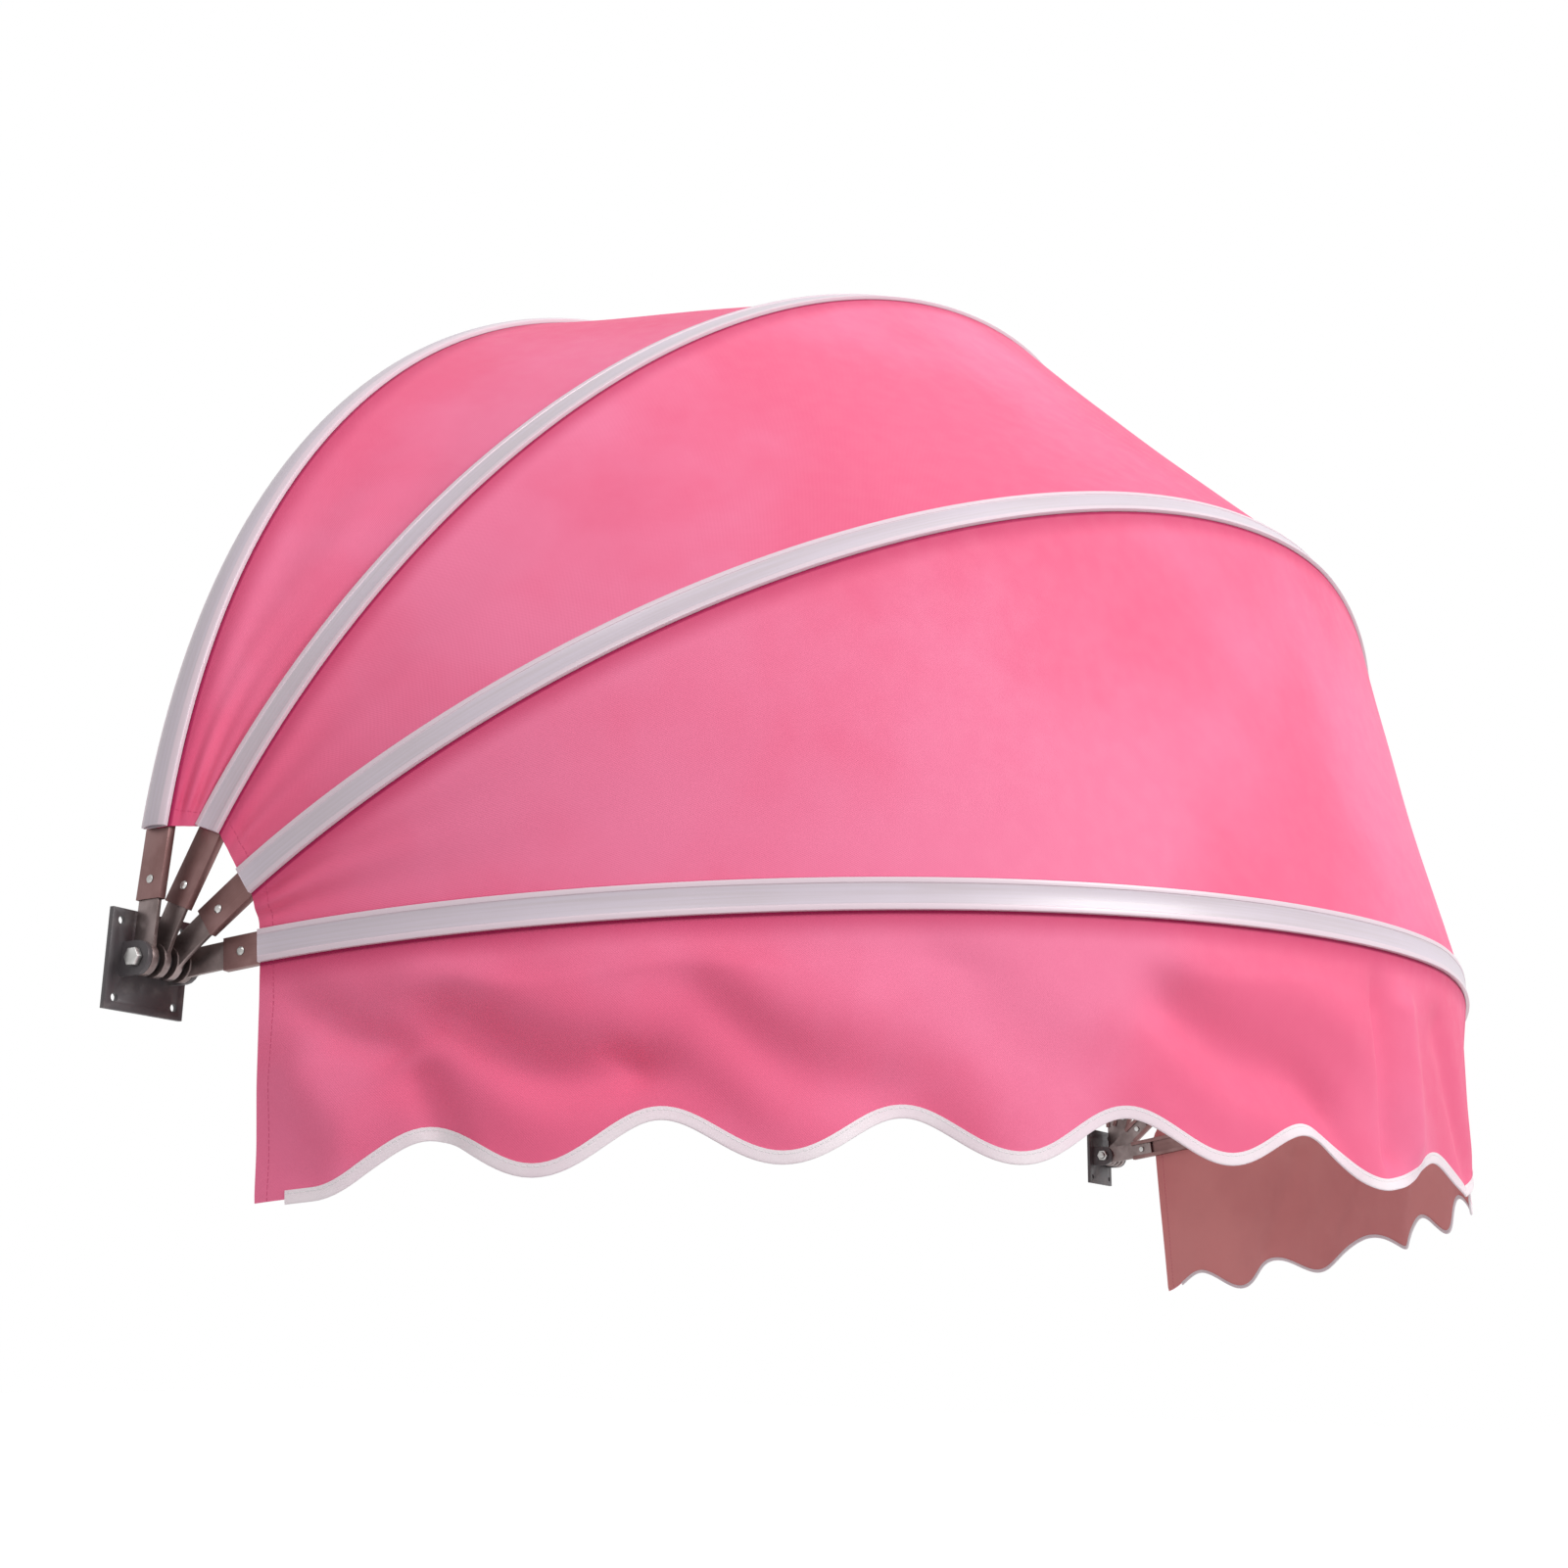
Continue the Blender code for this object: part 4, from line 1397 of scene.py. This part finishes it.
@dataclass(kw_only=True)
class Gore(Cloth):
    """The taut cloth between two hoops, with both edges laid under the cover strips.

    The tucked rows lie under a strip, by their distance from its middle line. The sag and the
    edge pull draw the cloth in between its hoops, inwards and from its free ends. The hub folds
    fan out from the hubs, and dents are the shallow unevenness of the rest. Columns and rows
    stand closer at the free ends and at the strips.
    """

    node: str
    upper: Hoop
    lower: Hoop
    seed: float
    tucked_rows: tuple[float, ...] = (SEAM_HALF_GAP, 0.006, 0.0115, STRIP_HALF_WIDTH)
    sag: float = 0.003
    edge_pull: float = 0.003
    pull_reach: float = 0.08
    usual_length: float = 2.4
    end_hem: float = 0.014
    hem_height: float = 0.0005
    hem_step: float = 0.0015
    stitch_inset: float = 0.003
    stitch_width: float = 0.0012
    stitch_depth: float = 0.0003
    dent: float = 0.0035
    hub_fold: float = 0.0022
    hub_folds: float = 2.5
    hub_reach: float = 0.12
    hub_start: float = 0.02
    columns: int = 120
    end_stretch: float = 0.02
    end_columns: int = 14
    rows: int = 34
    edge_stretch: float = 0.03
    edge_rows: int = 4

    def build(self) -> bpy.types.Object:
        """Lay out the cloth between its hoops.

        Returns:
            The finished gore.
        """
        shares = graded(self.columns, self.end_stretch, self.end_columns)
        taut, open_share, below, above = self.taut_surface(shares)
        shape = taut + outward_normals(taut) * self.relief(taut, open_share)[..., None]
        flat = self.pattern(taut)
        marks = {"below_strip": below, "above_strip": above, "from_end": self.from_end(flat)}
        piece = self.sheet_from(shape, flat, marks)
        self.fold_with_hoops(piece)
        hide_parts(self.node)
        return piece

    def taut_surface(self, shares: Array) -> tuple[Array, Array, Array, Array]:
        """The cloth without dents, and where each point lies between the strips.

        Args:
            shares: Places along the hoops.

        Returns:
            The grid of points, the share of the open span for each row, and the distances from
            the edge of the strip above and of the strip below.
        """
        span = graded(self.rows, self.edge_stretch, self.edge_rows)
        lines = [self.upper.fabric(shares, lower) for lower in self.tucked_rows]
        for share in span:
            bow = 4 * share * (1 - share)
            pull = self.edge_pull * bow / self.usual_length
            eased = shares + pull * (self.near_end(shares) - self.near_end(1 - shares))
            eased = np.clip(eased, 0.0, 1.0)
            start = self.upper.fabric(eased, FABRIC_TURN)
            end = self.lower.fabric(eased, -FABRIC_TURN)
            line = start + (end - start) * share
            line[:, 1:] += unit(PIVOT[1:] - line[:, 1:]) * self.sag * bow
            lines.append(line)
        lines += [self.lower.fabric(shares, -lower) for lower in reversed(self.tucked_rows)]
        surface = np.stack(lines, axis=1)
        tucked = len(self.tucked_rows)
        open_share = np.concatenate([np.zeros(tucked), span, np.ones(tucked)])
        runs = runs_across(surface)
        below = runs - runs[:, tucked - 1:tucked]
        above = runs[:, -tucked][:, None] - runs
        return surface, open_share, below, above

    def near_end(self, shares: Array) -> Array:
        """1 at the left end, falling to 0 a little way along."""
        return np.clip(1 - shares / self.pull_reach, 0.0, 1.0) ** 2

    def relief(self, taut: Array, open_share: Array) -> Array:
        """How far the real cloth stands off the taut surface.

        Args:
            taut: The cloth without dents.
            open_share: Share of the open span for each row.

        Returns:
            Distances along the outward normals.
        """
        middle = running(taut[:, taut.shape[1] // 2])
        lengths = np.broadcast_to(middle[:, None], taut.shape[:2])
        across = np.broadcast_to(open_share[None, :], taut.shape[:2])
        end = np.minimum(lengths, middle[-1] - lengths)
        free = (4 * across * (1 - across)) ** 0.8
        # Broad dents, slanting creases, and how unevenly the hub folds fan out
        broad = soft_noise(lengths * 3.2, across * 1.7, self.seed)
        creases = soft_noise(lengths * 7.5 + across * 2.4, across * 2.2 - lengths * 2.0, self.seed + 9)
        wander = soft_noise(lengths * 4, across, self.seed + 4) * 3
        fan = np.sin(across * math.tau * self.hub_folds + wander)
        fading = np.exp(-end / self.hub_reach) * np.clip(end / self.hub_start, 0, 1)
        sewn = np.clip(free * 4, 0, 1)
        hem = self.hem_height * np.clip((self.end_hem - end) / self.hem_step, 0, 1) * sewn
        off_line = (end - self.end_hem + self.stitch_inset) / self.stitch_width
        stitch = -self.stitch_depth * np.exp(-(off_line ** 2)) * sewn
        dents = self.dent * free * (broad + 0.45 * creases)
        return dents + self.hub_fold * free * fan * fading + hem + stitch

    def pattern(self, taut: Array) -> Array:
        """Map values of the cloth.

        Args:
            taut: The cloth without dents.

        Returns:
            Running lengths along and across it, by columns and rows.
        """
        middle = taut.shape[1] // 2
        along = np.broadcast_to(running(taut[:, middle])[:, None], taut.shape[:2])
        return np.stack([along, runs_across(taut)], axis=-1)

    def fold_with_hoops(self, piece: bpy.types.Object) -> None:
        """Bake the gore's place into its mesh and work out each point's share of the turn between its two
        hoops; the shares are not kept.

        Args:
            piece: The gore.
        """
        start = self.upper.fabric(np.array([0.5]), 0.0)[0]
        end = self.lower.fabric(np.array([0.5]), 0.0)[0]
        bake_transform(piece)
        points = coordinates(piece)
        turn = np.degrees(np.arctan2(points[:, 2] - PIVOT[2], PIVOT[1] - points[:, 1]))
        share = (self.upper.angle - turn) / (self.upper.angle - self.lower.angle)
        # The rows under a strip take the share of their bow alone
        share = np.where(read_attribute(piece, "above_strip") <= HELD, 1.0, share)
        share = np.where(read_attribute(piece, "below_strip") <= HELD, 0.0, share)


@dataclass(frozen=True)
class Fold:
    """One soft fold of the border, a ridge or a hollow along a line.

    Places are metres along the border from its left end, and shares of its drop.
    """

    start: tuple[float, float]
    end: tuple[float, float]
    width: float
    height: float

    def out(self, along: Array, share: Array, drop: float) -> Array:
        """How far this fold lifts the cloth.

        Args:
            along: Metres along the border.
            share: Shares of its drop.
            drop: The border's drop, which turns shares into metres.

        Returns:
            Distances outward.
        """
        first = np.array([self.start[0], self.start[1] * drop])
        line = np.array([self.end[0], self.end[1] * drop]) - first
        reach = np.linalg.norm(line)
        line /= reach
        x, y = along - first[0], share * drop - first[1]
        on = (x * line[0] + y * line[1]) / reach
        off = x * line[1] - y * line[0]
        past = np.maximum(np.maximum(-on, on - 1.0), 0.0) * reach / self.width
        return self.height * np.exp(-((off / self.width) ** 2) - past ** 2)


@dataclass(frozen=True)
class Stray:
    """A soft change of a value between two shares of the border's length."""

    start: float
    end: float
    before: float
    after: float

    def at(self, place: Array) -> Array:
        """The value at shares of the length."""
        eased = np.clip((place - self.start) / (self.end - self.start), 0.0, 1.0)
        return self.before + (self.after - self.before) * eased ** 2 * (3 - 2 * eased)


# How far the hand-cut scallops stray along the hem, in metres
CUT_STRAYS = (
    Stray(0.00, 0.16, 0.028, 0.0),
    Stray(0.24, 0.55, 0.0, 0.034),
    Stray(0.40, 0.49, 0.0, 0.036),
    Stray(0.69, 0.77, 0.0, -0.036),
    Stray(0.77, 0.855, 0.0, 0.048),
    Stray(0.88, 1.00, 0.0, -0.048),
)

# How much lower the hem hangs than it was cut, in metres
HANG_STRAYS = (
    Stray(0.12, 0.27, -0.011, 0.0),
    Stray(0.32, 0.43, 0.0, 0.017),
    Stray(0.43, 0.54, 0.0, -0.008),
    Stray(0.94, 1.00, 0.0, -0.009),
)

# Depth of the scallops, as a share of the rise
RISE_STRAY = Stray(0.42, 0.50, 1.0, 0.75)

# The border's folds as the photo shows them, and softer ones round its hidden right side
BORDER_FOLDS = (
    Fold((0.040, 0.55), (0.075, 0.80), 0.026, 0.009),
    Fold((0.030, 0.15), (0.112, 0.54), 0.016, -0.009),
    Fold((0.132, 0.74), (0.152, 1.00), 0.016, -0.008),
    Fold((0.150, 0.42), (0.290, 0.80), 0.024, -0.012),
    Fold((0.130, 0.15), (0.270, 0.45), 0.030, 0.008),
    Fold((0.250, 0.10), (0.440, 0.45), 0.040, 0.008),
    Fold((0.330, 0.35), (0.460, 0.90), 0.024, -0.006),
    Fold((0.268, 0.62), (0.292, 0.78), 0.008, -0.003),
    Fold((0.520, 0.20), (0.640, 0.75), 0.032, -0.005),
    Fold((0.725, 0.43), (0.900, 0.85), 0.028, -0.011),
    Fold((0.740, 0.15), (0.930, 0.40), 0.032, 0.006),
    Fold((0.990, 0.15), (1.000, 0.90), 0.015, -0.009),
    Fold((1.035, 0.25), (1.050, 0.90), 0.020, 0.008),
    Fold((1.120, 0.35), (1.220, 0.95), 0.024, -0.007),
    Fold((1.330, 0.30), (1.370, 1.00), 0.070, -0.009),
    Fold((1.560, 0.30), (1.700, 0.90), 0.030, -0.006),
    Fold((1.800, 0.15), (1.930, 0.85), 0.030, 0.006),
    Fold((2.000, 0.30), (2.060, 0.95), 0.024, -0.006),
)



@dataclass(kw_only=True)
class Border(Cloth):
    """The scalloped valance and the tape bound over its hem.

    The drop is from the fold at the strip to a low point of the hem, and the rise from there to
    a high point. The swell moves with the scallops, and the fold is the cloth's own unevenness.
    The held share of the drop is the part next to the strip, which lies smoother.
    """

    tape: bpy.types.Material
    hoop: Hoop = HOOPS[-1]
    tucked_rows: tuple[float, ...] = (SEAM_HALF_GAP, 0.006, STRIP_HALF_WIDTH)
    drop: float = 0.180
    rise: float = 0.034
    low_points: int = 13
    hem_end: float = 0.026
    end_slant: float = 0.012
    slant_reach: float = 0.09
    swell: float = 0.006
    fold: float = 0.006
    held_share: float = 0.25
    tape_inset: float = 0.022
    tape_height: float = 0.0095
    tape_gap: float = 0.0008
    tape_back: float = 0.003
    tape_overlap: float = 0.0002
    tape_thickness: float = 0.0005
    tuck: float = 0.006
    columns_per_scallop: int = 34
    rows: int = 36

    def build(self) -> list[bpy.types.Object]:
        """Make the valance and its binding.

        Returns:
            The valance and the tape.
        """
        shares = self.even_shares((self.low_points - 1) * self.columns_per_scallop)
        turn = self.hoop.fabric(shares, FABRIC_TURN)
        lengths = running(turn)
        hung = self.hanging(turn, lengths)
        hem = hung[:, -1]
        normal = outward_normals(hung)[:, -1]
        down = np.cross(unit(np.gradient(hem, axis=0)), normal)
        down *= -np.sign(down[:, 2:3])
        top = [self.hoop.fabric(shares, lower) for lower in self.tucked_rows]
        tucked = [hem + down * self.tuck * part for part in (0.4, 1.0)]
        surface = np.concatenate([np.stack(top, axis=1), hung, np.stack(tucked, axis=1)], axis=1)
        valance = self.make_valance(surface, lengths)
        binding = self.make_binding(hem, down, normal)
        for piece in (valance, binding):
            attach(piece, self.hoop.body)
            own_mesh(piece)
        self.declare(valance, binding, surface, lengths)
        return [valance, binding]

    def even_shares(self, columns: int) -> Array:
        """Shares of the hoop's angle that stand evenly along the cloth's fold.

        Args:
            columns: Steps along the fold.

        Returns:
            One share more than there are steps.
        """
        dense = np.linspace(0.0, 1.0, 4 * columns + 1)
        lengths = running(self.hoop.fabric(dense, FABRIC_TURN))
        return np.interp(np.linspace(0.0, lengths[-1], columns + 1), lengths, dense)

    def scallops(self, lengths: Array) -> Array:
        """Phase of the hem's wave, a whole turn from one low point to the next.

        Args:
            lengths: Running lengths along the fold.

        Returns:
            The phase at each length.
        """
        strayed = sum(stray.at(lengths / lengths[-1]) for stray in CUT_STRAYS)
        share = (lengths - strayed - self.hem_end) / (lengths[-1] - 2 * self.hem_end)
        return math.tau * (self.low_points - 1) * np.clip(share, 0.0, 1.0)

    def hanging(self, turn: Array, lengths: Array) -> Array:
        """The cloth from its fold at the strip down to the hem.

        Args:
            turn: The points of the fold.
            lengths: Running lengths along it.

        Returns:
            A grid of points, by columns and rows.
        """
        along = np.gradient(turn, axis=0)
        outward = unit(np.column_stack([-along[:, 1], along[:, 0], np.zeros(len(turn))]))
        outward *= np.sign((outward * (turn - PIVOT)).sum(axis=1))[:, None]
        place = lengths / lengths[-1]
        phase = self.scallops(lengths)
        drop = self.drop - self.rise * RISE_STRAY.at(place) * (1 - np.cos(phase)) / 2
        drop += sum(stray.at(place) for stray in HANG_STRAYS)
        rows = []
        for share in np.linspace(0.0, 1.0, self.rows + 1):
            line = self.slanted(turn, lengths, share)
            line += outward * self.folds(lengths, phase, share)[:, None]
            line[:, 2] -= drop * share
            rows.append(line)
        return np.stack(rows, axis=1)

    def slanted(self, turn: Array, lengths: Array, share: float) -> Array:
        """The fold line, with its ends drawn in for the lower rows.

        Args:
            turn: The points of the fold.
            lengths: Running lengths along it.
            share: Share of the drop, 1 at the hem.

        Returns:
            The drawn in points.
        """
        pull = self.end_slant * share
        start = pull * np.clip(1 - lengths / self.slant_reach, 0.0, 1.0)
        end = pull * np.clip(1 - (lengths[-1] - lengths) / self.slant_reach, 0.0, 1.0)
        moved = lengths + start - end
        return np.column_stack([np.interp(moved, lengths, turn[:, axis]) for axis in range(3)])

    def folds(self, lengths: Array, phase: Array, share: float) -> Array:
        """How far the border swells out at a share of its drop.

        Args:
            lengths: Running lengths along the fold.
            phase: The scallop's phase at each.
            share: Share of the drop, 1 at the hem.

        Returns:
            Distances outward.
        """
        swell = self.swell * share ** 1.8 * (np.cos(phase - 0.5 * share) - 1) / 2
        level = np.full(len(lengths), share)
        # Broad waves and slanting creases, besides the folds that are placed one by one
        broad = soft_noise(lengths * 4.1 - level * 1.1, level * 0.8, 2.3)
        slant = soft_noise(lengths * 9.0 - level * 2.6, level * 1.3 + lengths * 2.2, 6.1)
        placed = sum(fold.out(lengths, level, self.drop) for fold in BORDER_FOLDS)
        loose = min(share / self.held_share, 1.0) ** 1.2
        return swell + loose * (placed + self.fold * share * (broad + 0.7 * slant))

    def make_valance(self, surface: Array, lengths: Array) -> bpy.types.Object:
        """The cloth of the border, with its top edge laid under the strip.

        Args:
            surface: The middle surface, by columns and rows.
            lengths: Running lengths along the fold.

        Returns:
            The finished cloth, not yet riding on a body.
        """
        runs = runs_across(surface)
        edge = len(self.tucked_rows) - 1
        below = runs - runs[:, edge:edge + 1]
        flat = np.stack([np.broadcast_to(lengths[:, None], runs.shape), runs], axis=-1)
        marks = {"below_strip": below, "above_strip": np.ones_like(below), "from_end": self.from_end(flat)}
        piece = self.sheet_from(surface, flat, marks)
        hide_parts("valance")
        return piece

    def make_binding(self, hem: Array, down: Array, normal: Array) -> bpy.types.Object:
        """A tape folded round the hem, deeper in front than at the back.

        Args:
            hem: The points of the cloth's lower edge.
            down: Unit directions past that edge, at each point.
            normal: Unit directions outward.

        Returns:
            The finished tape, not yet riding on a body.
        """
        gap = self.tape_gap
        front = np.linspace(-self.tape_overlap, self.tape_height - gap, 6)
        bottom = front[-1]
        turns = np.linspace(0.0, math.pi, 7)[1:-1]
        section = [(gap, place) for place in front]
        section += [(gap * math.cos(turn), bottom + gap * math.sin(turn)) for turn in turns]
        section += [(-gap, place) for place in np.linspace(bottom, bottom - self.tape_back, 4)]
        lengths = running(hem)
        taped = (lengths >= self.tape_inset) & (lengths <= lengths[-1] - self.tape_inset)
        rows = [hem + normal * out + down * place for out, place in section]
        piece, column, row = grid_on("hem_tape", np.stack(rows, axis=1)[taped])
        places = np.array([place for _, place in section])
        write_map(piece, np.column_stack([lengths[taped][column], places[row]]))
        dress(piece, self.tape)
        apply_modifier(piece, "SOLIDIFY", thickness=self.tape_thickness, offset=0.0, use_even_offset=True)
        face_outwards(piece)
        shade(piece, 60)
        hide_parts("hem_binding")
        return piece

    @staticmethod
    def declare(valance: bpy.types.Object, binding: bpy.types.Object, surface: Array,
                lengths: Array) -> None:
        """Left empty, it says nothing of how large the border's cloth was cut.

        Args:
            valance: The cloth; it is not used.
            binding: The tape that goes with it; it is not used.
            surface: The cloth's middle surface, by columns and rows; it is not used.
            lengths: Running lengths along the fold; it is not used.
        """


# Hardware

@dataclass
class Hardware:
    """The hinge and wall fittings: each CAD node with its edges eased and its own finish."""

    finishes: Finishes
    hinge_round: float = 0.0006
    clip_round: float = 0.0005
    spacer_round: float = 0.0004
    fitting_round: float = 0.0003
    rivet_round: float = 0.0002
    merge_distance: float = 0.000005

    def build(self) -> list[bpy.types.Object]:
        """Make every fitting.

        Returns:
            The finished pieces.
        """
        steel, zinc = self.finishes.dark_steel, self.finishes.zinc
        made = []
        for side in ("left", "right"):
            made.append(self.eased(f"wall_bracket_{side}", steel, Slot.DARK_STEEL, self.hinge_round))
            made.append(self.eased(f"pivot_bolt_{side}", zinc, Slot.ZINC, self.hinge_round))
            made.append(self.eased(f"pivot_nut_{side}", zinc, Slot.ZINC, self.hinge_round))
            for number in (1, 2, 3):
                made.append(self.eased(f"pivot_spacer_{side}_{number}", self.finishes.black_plastic,
                                       Slot.BLACK_PLASTIC, self.spacer_round))
            for hoop in HOOPS:
                made.append(self.eased(f"{hoop.node}_end_{side}", self.finishes.fitting,
                                       Slot.ZINC, self.fitting_round))
                made.append(self.eased(f"{hoop.node}_rivet_{side}", zinc, Slot.ZINC, self.rivet_round))
        for place in ("crown", "left", "right"):
            made.append(self.eased(f"wall_clip_{place}", steel, Slot.DARK_STEEL, self.clip_round))
            made.append(self.eased(f"clip_screw_{place}", zinc, Slot.ZINC, self.fitting_round))
            made.append(self.eased(f"clip_nut_{place}", zinc, Slot.ZINC, self.rivet_round))
        return made

    def eased(self, node: str, finish: bpy.types.Material, slot: Slot, width: float) -> bpy.types.Object:
        """A copy of a CAD node with merged faces and rounded edges.

        Args:
            node: The CAD node's name.
            finish: Its material.
            slot: The record's slot; it is not used.
            width: Width of the rounding.

        Returns:
            The finished piece.
        """
        source = frame["nodes"][node]
        piece = bpy.data.objects.new(f"{node}_eased", source.data.copy())
        bpy.context.scene.collection.objects.link(piece)
        edit_all(piece)
        bpy.ops.mesh.remove_doubles(threshold=self.merge_distance)
        bpy.ops.mesh.dissolve_limited(angle_limit=math.radians(1.0))
        finish_edit()
        piece.data.polygons.foreach_set("use_smooth", [False] * len(piece.data.polygons))
        round_edges(piece, width, segments=2, degrees=40)
        dress(piece, finish)
        shade(piece, 32)
        body = source["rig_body"]
        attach(piece, body)
        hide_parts(node)
        return piece


# Studio

@dataclass(frozen=True)
class Lamp:
    """A square area lamp that faces a point, with its side in metres and its power in watts."""

    name: str
    place: Place
    target: Place
    side: float
    power: float

    def hang(self) -> None:
        """Add the lamp to the scene."""
        light = bpy.data.lights.new(self.name, "AREA")
        light.shape = "SQUARE"
        light.size = self.side
        light.energy = self.power
        lamp = bpy.data.objects.new(self.name, light)
        lamp.location = self.place
        facing = Vector(self.target) - Vector(self.place)
        lamp.rotation_euler = facing.to_track_quat("-Z", "Y").to_euler()
        bpy.context.scene.collection.objects.link(lamp)


# A soft key from the street side, a weaker one beside it and one above
LAMPS = (
    Lamp("key", (0.2, -4.3, 1.7), (0.1, -0.4, -0.4), 1.7, 119.0),
    Lamp("side", (-3.3, -2.2, 2.5), (-0.2, -0.4, -0.5), 1.4, 50.0),
    Lamp("top", (0.6, -0.8, 4.2), (0.0, -0.4, -0.4), 2.4, 20.0),
)


@dataclass
class Studio:
    """A plain pale floor, soft light and a camera at the photo's own place.

    The camera's azimuth, elevation and roll are in degrees, and its lens and sensor in
    millimetres.
    """

    floor_level: float = -2.4
    floor_size: float = 80.0
    floor_glow: float = 0.7
    world_strength: float = 0.46
    camera_place: Place = (-1.9135, -1.2324, -1.0384)
    camera_azimuth: float = -57.43
    camera_elevation: float = -15.21
    camera_roll: float = 0.986
    lens: float = 47.365
    sensor: float = 36.0

    def build(self) -> None:
        """Set up the floor, the light and the camera."""
        self.set_floor()
        self.set_world()
        for lamp in LAMPS:
            lamp.hang()
        self.set_camera()
        bpy.context.scene.view_settings.view_transform = "Standard"
        LOG.info("studio ready")

    def set_floor(self) -> None:
        """A wide pale floor, far below the awning."""
        deselect()
        bpy.ops.mesh.primitive_plane_add(size=self.floor_size, location=(0, 0, self.floor_level))
        floor = bpy.context.object
        floor.name = "studio_floor"
        surface = Surface("floor_paint", 0.9)
        nodes = surface.nodes
        rays = nodes.add("ShaderNodeLightPath").outputs
        seen = nodes.math("MAXIMUM", rays["Is Camera Ray"], rays["Is Glossy Ray"])
        surface.constants({
            "Base Color": (0.80, 0.80, 0.80),
            "Specular IOR Level": 0.0,
            "Emission Color": (1.0, 1.0, 1.0),
            "Emission Strength": nodes.math("MULTIPLY", seen, self.floor_glow),
        })
        dress(floor, surface.material)

    def set_world(self) -> None:
        """White to the eye and in reflections, and a softer light on the awning."""
        world = bpy.data.worlds.new("studio")
        world.use_nodes = True
        bpy.context.scene.world = world
        nodes = Nodes(world.node_tree)
        background = world.node_tree.nodes["Background"].inputs
        rays = nodes.add("ShaderNodeLightPath").outputs
        seen = nodes.math("MAXIMUM", rays["Is Camera Ray"], rays["Is Transmission Ray"])
        seen = nodes.math("MAXIMUM", seen, rays["Is Glossy Ray"])
        strength = nodes.math("MULTIPLY_ADD", seen, 1.0 - self.world_strength, self.world_strength)
        nodes.feed(background["Color"], (1.0, 1.0, 1.0))
        nodes.feed(background["Strength"], strength)

    def set_camera(self) -> None:
        """The camera, low in front of the awning's left side, looking up."""
        data = bpy.data.cameras.new("camera")
        data.lens = self.lens
        data.sensor_width = self.sensor
        data.clip_start = 0.05
        data.clip_end = 200.0
        azimuth, elevation = math.radians(self.camera_azimuth), math.radians(self.camera_elevation)
        roll = math.radians(self.camera_roll)
        level = math.cos(elevation)
        back = Vector((math.sin(azimuth) * level, -math.cos(azimuth) * level, math.sin(elevation)))
        right = (-back).cross(Vector((0, 0, 1))).normalized()
        up = right.cross(-back)
        side = right * math.cos(roll) + up * math.sin(roll)
        top = up * math.cos(roll) - right * math.sin(roll)
        turn = Matrix((side, top, back)).transposed().to_4x4()
        camera = bpy.data.objects.new("camera", data)
        camera.matrix_world = Matrix.Translation(Vector(self.camera_place)) @ turn
        bpy.context.scene.collection.objects.link(camera)
        bpy.context.scene.camera = camera


def main() -> None:
    """Build the awning's looks in order and report each piece."""
    logging.basicConfig(level=logging.INFO, format="%(name)s %(message)s")
    Studio().build()
    finishes = Finishes()
    pieces = []
    for hoop in HOOPS:
        crown = WALL_STRIP_CROWN if hoop is HOOPS[0] else 0.0
        pieces.append(Bow(hoop, finishes.bow).build())
        pieces.append(CoverStrip(hoop, finishes.strip, crown=crown).build())
    gores = ("gore_wall", "gore_middle", "gore_front")
    for number, (node, upper, lower) in enumerate(zip(gores, HOOPS, HOOPS[1:])):
        pieces.append(Gore(f"{node}_cloth", finishes.cloth, finishes.cloth_back, node=node,
                           upper=upper, lower=lower, seed=GORE_SEED_STEP * number).build())
    border = Border("valance_cloth", finishes.cloth, finishes.cloth_back, tape=finishes.tape)
    pieces += border.build()
    pieces += Hardware(finishes).build()
    for piece in pieces:
        LOG.info("%s: %d faces", piece.name, len(piece.data.polygons))
    deselect()


if __name__ == "__main__":
    main()
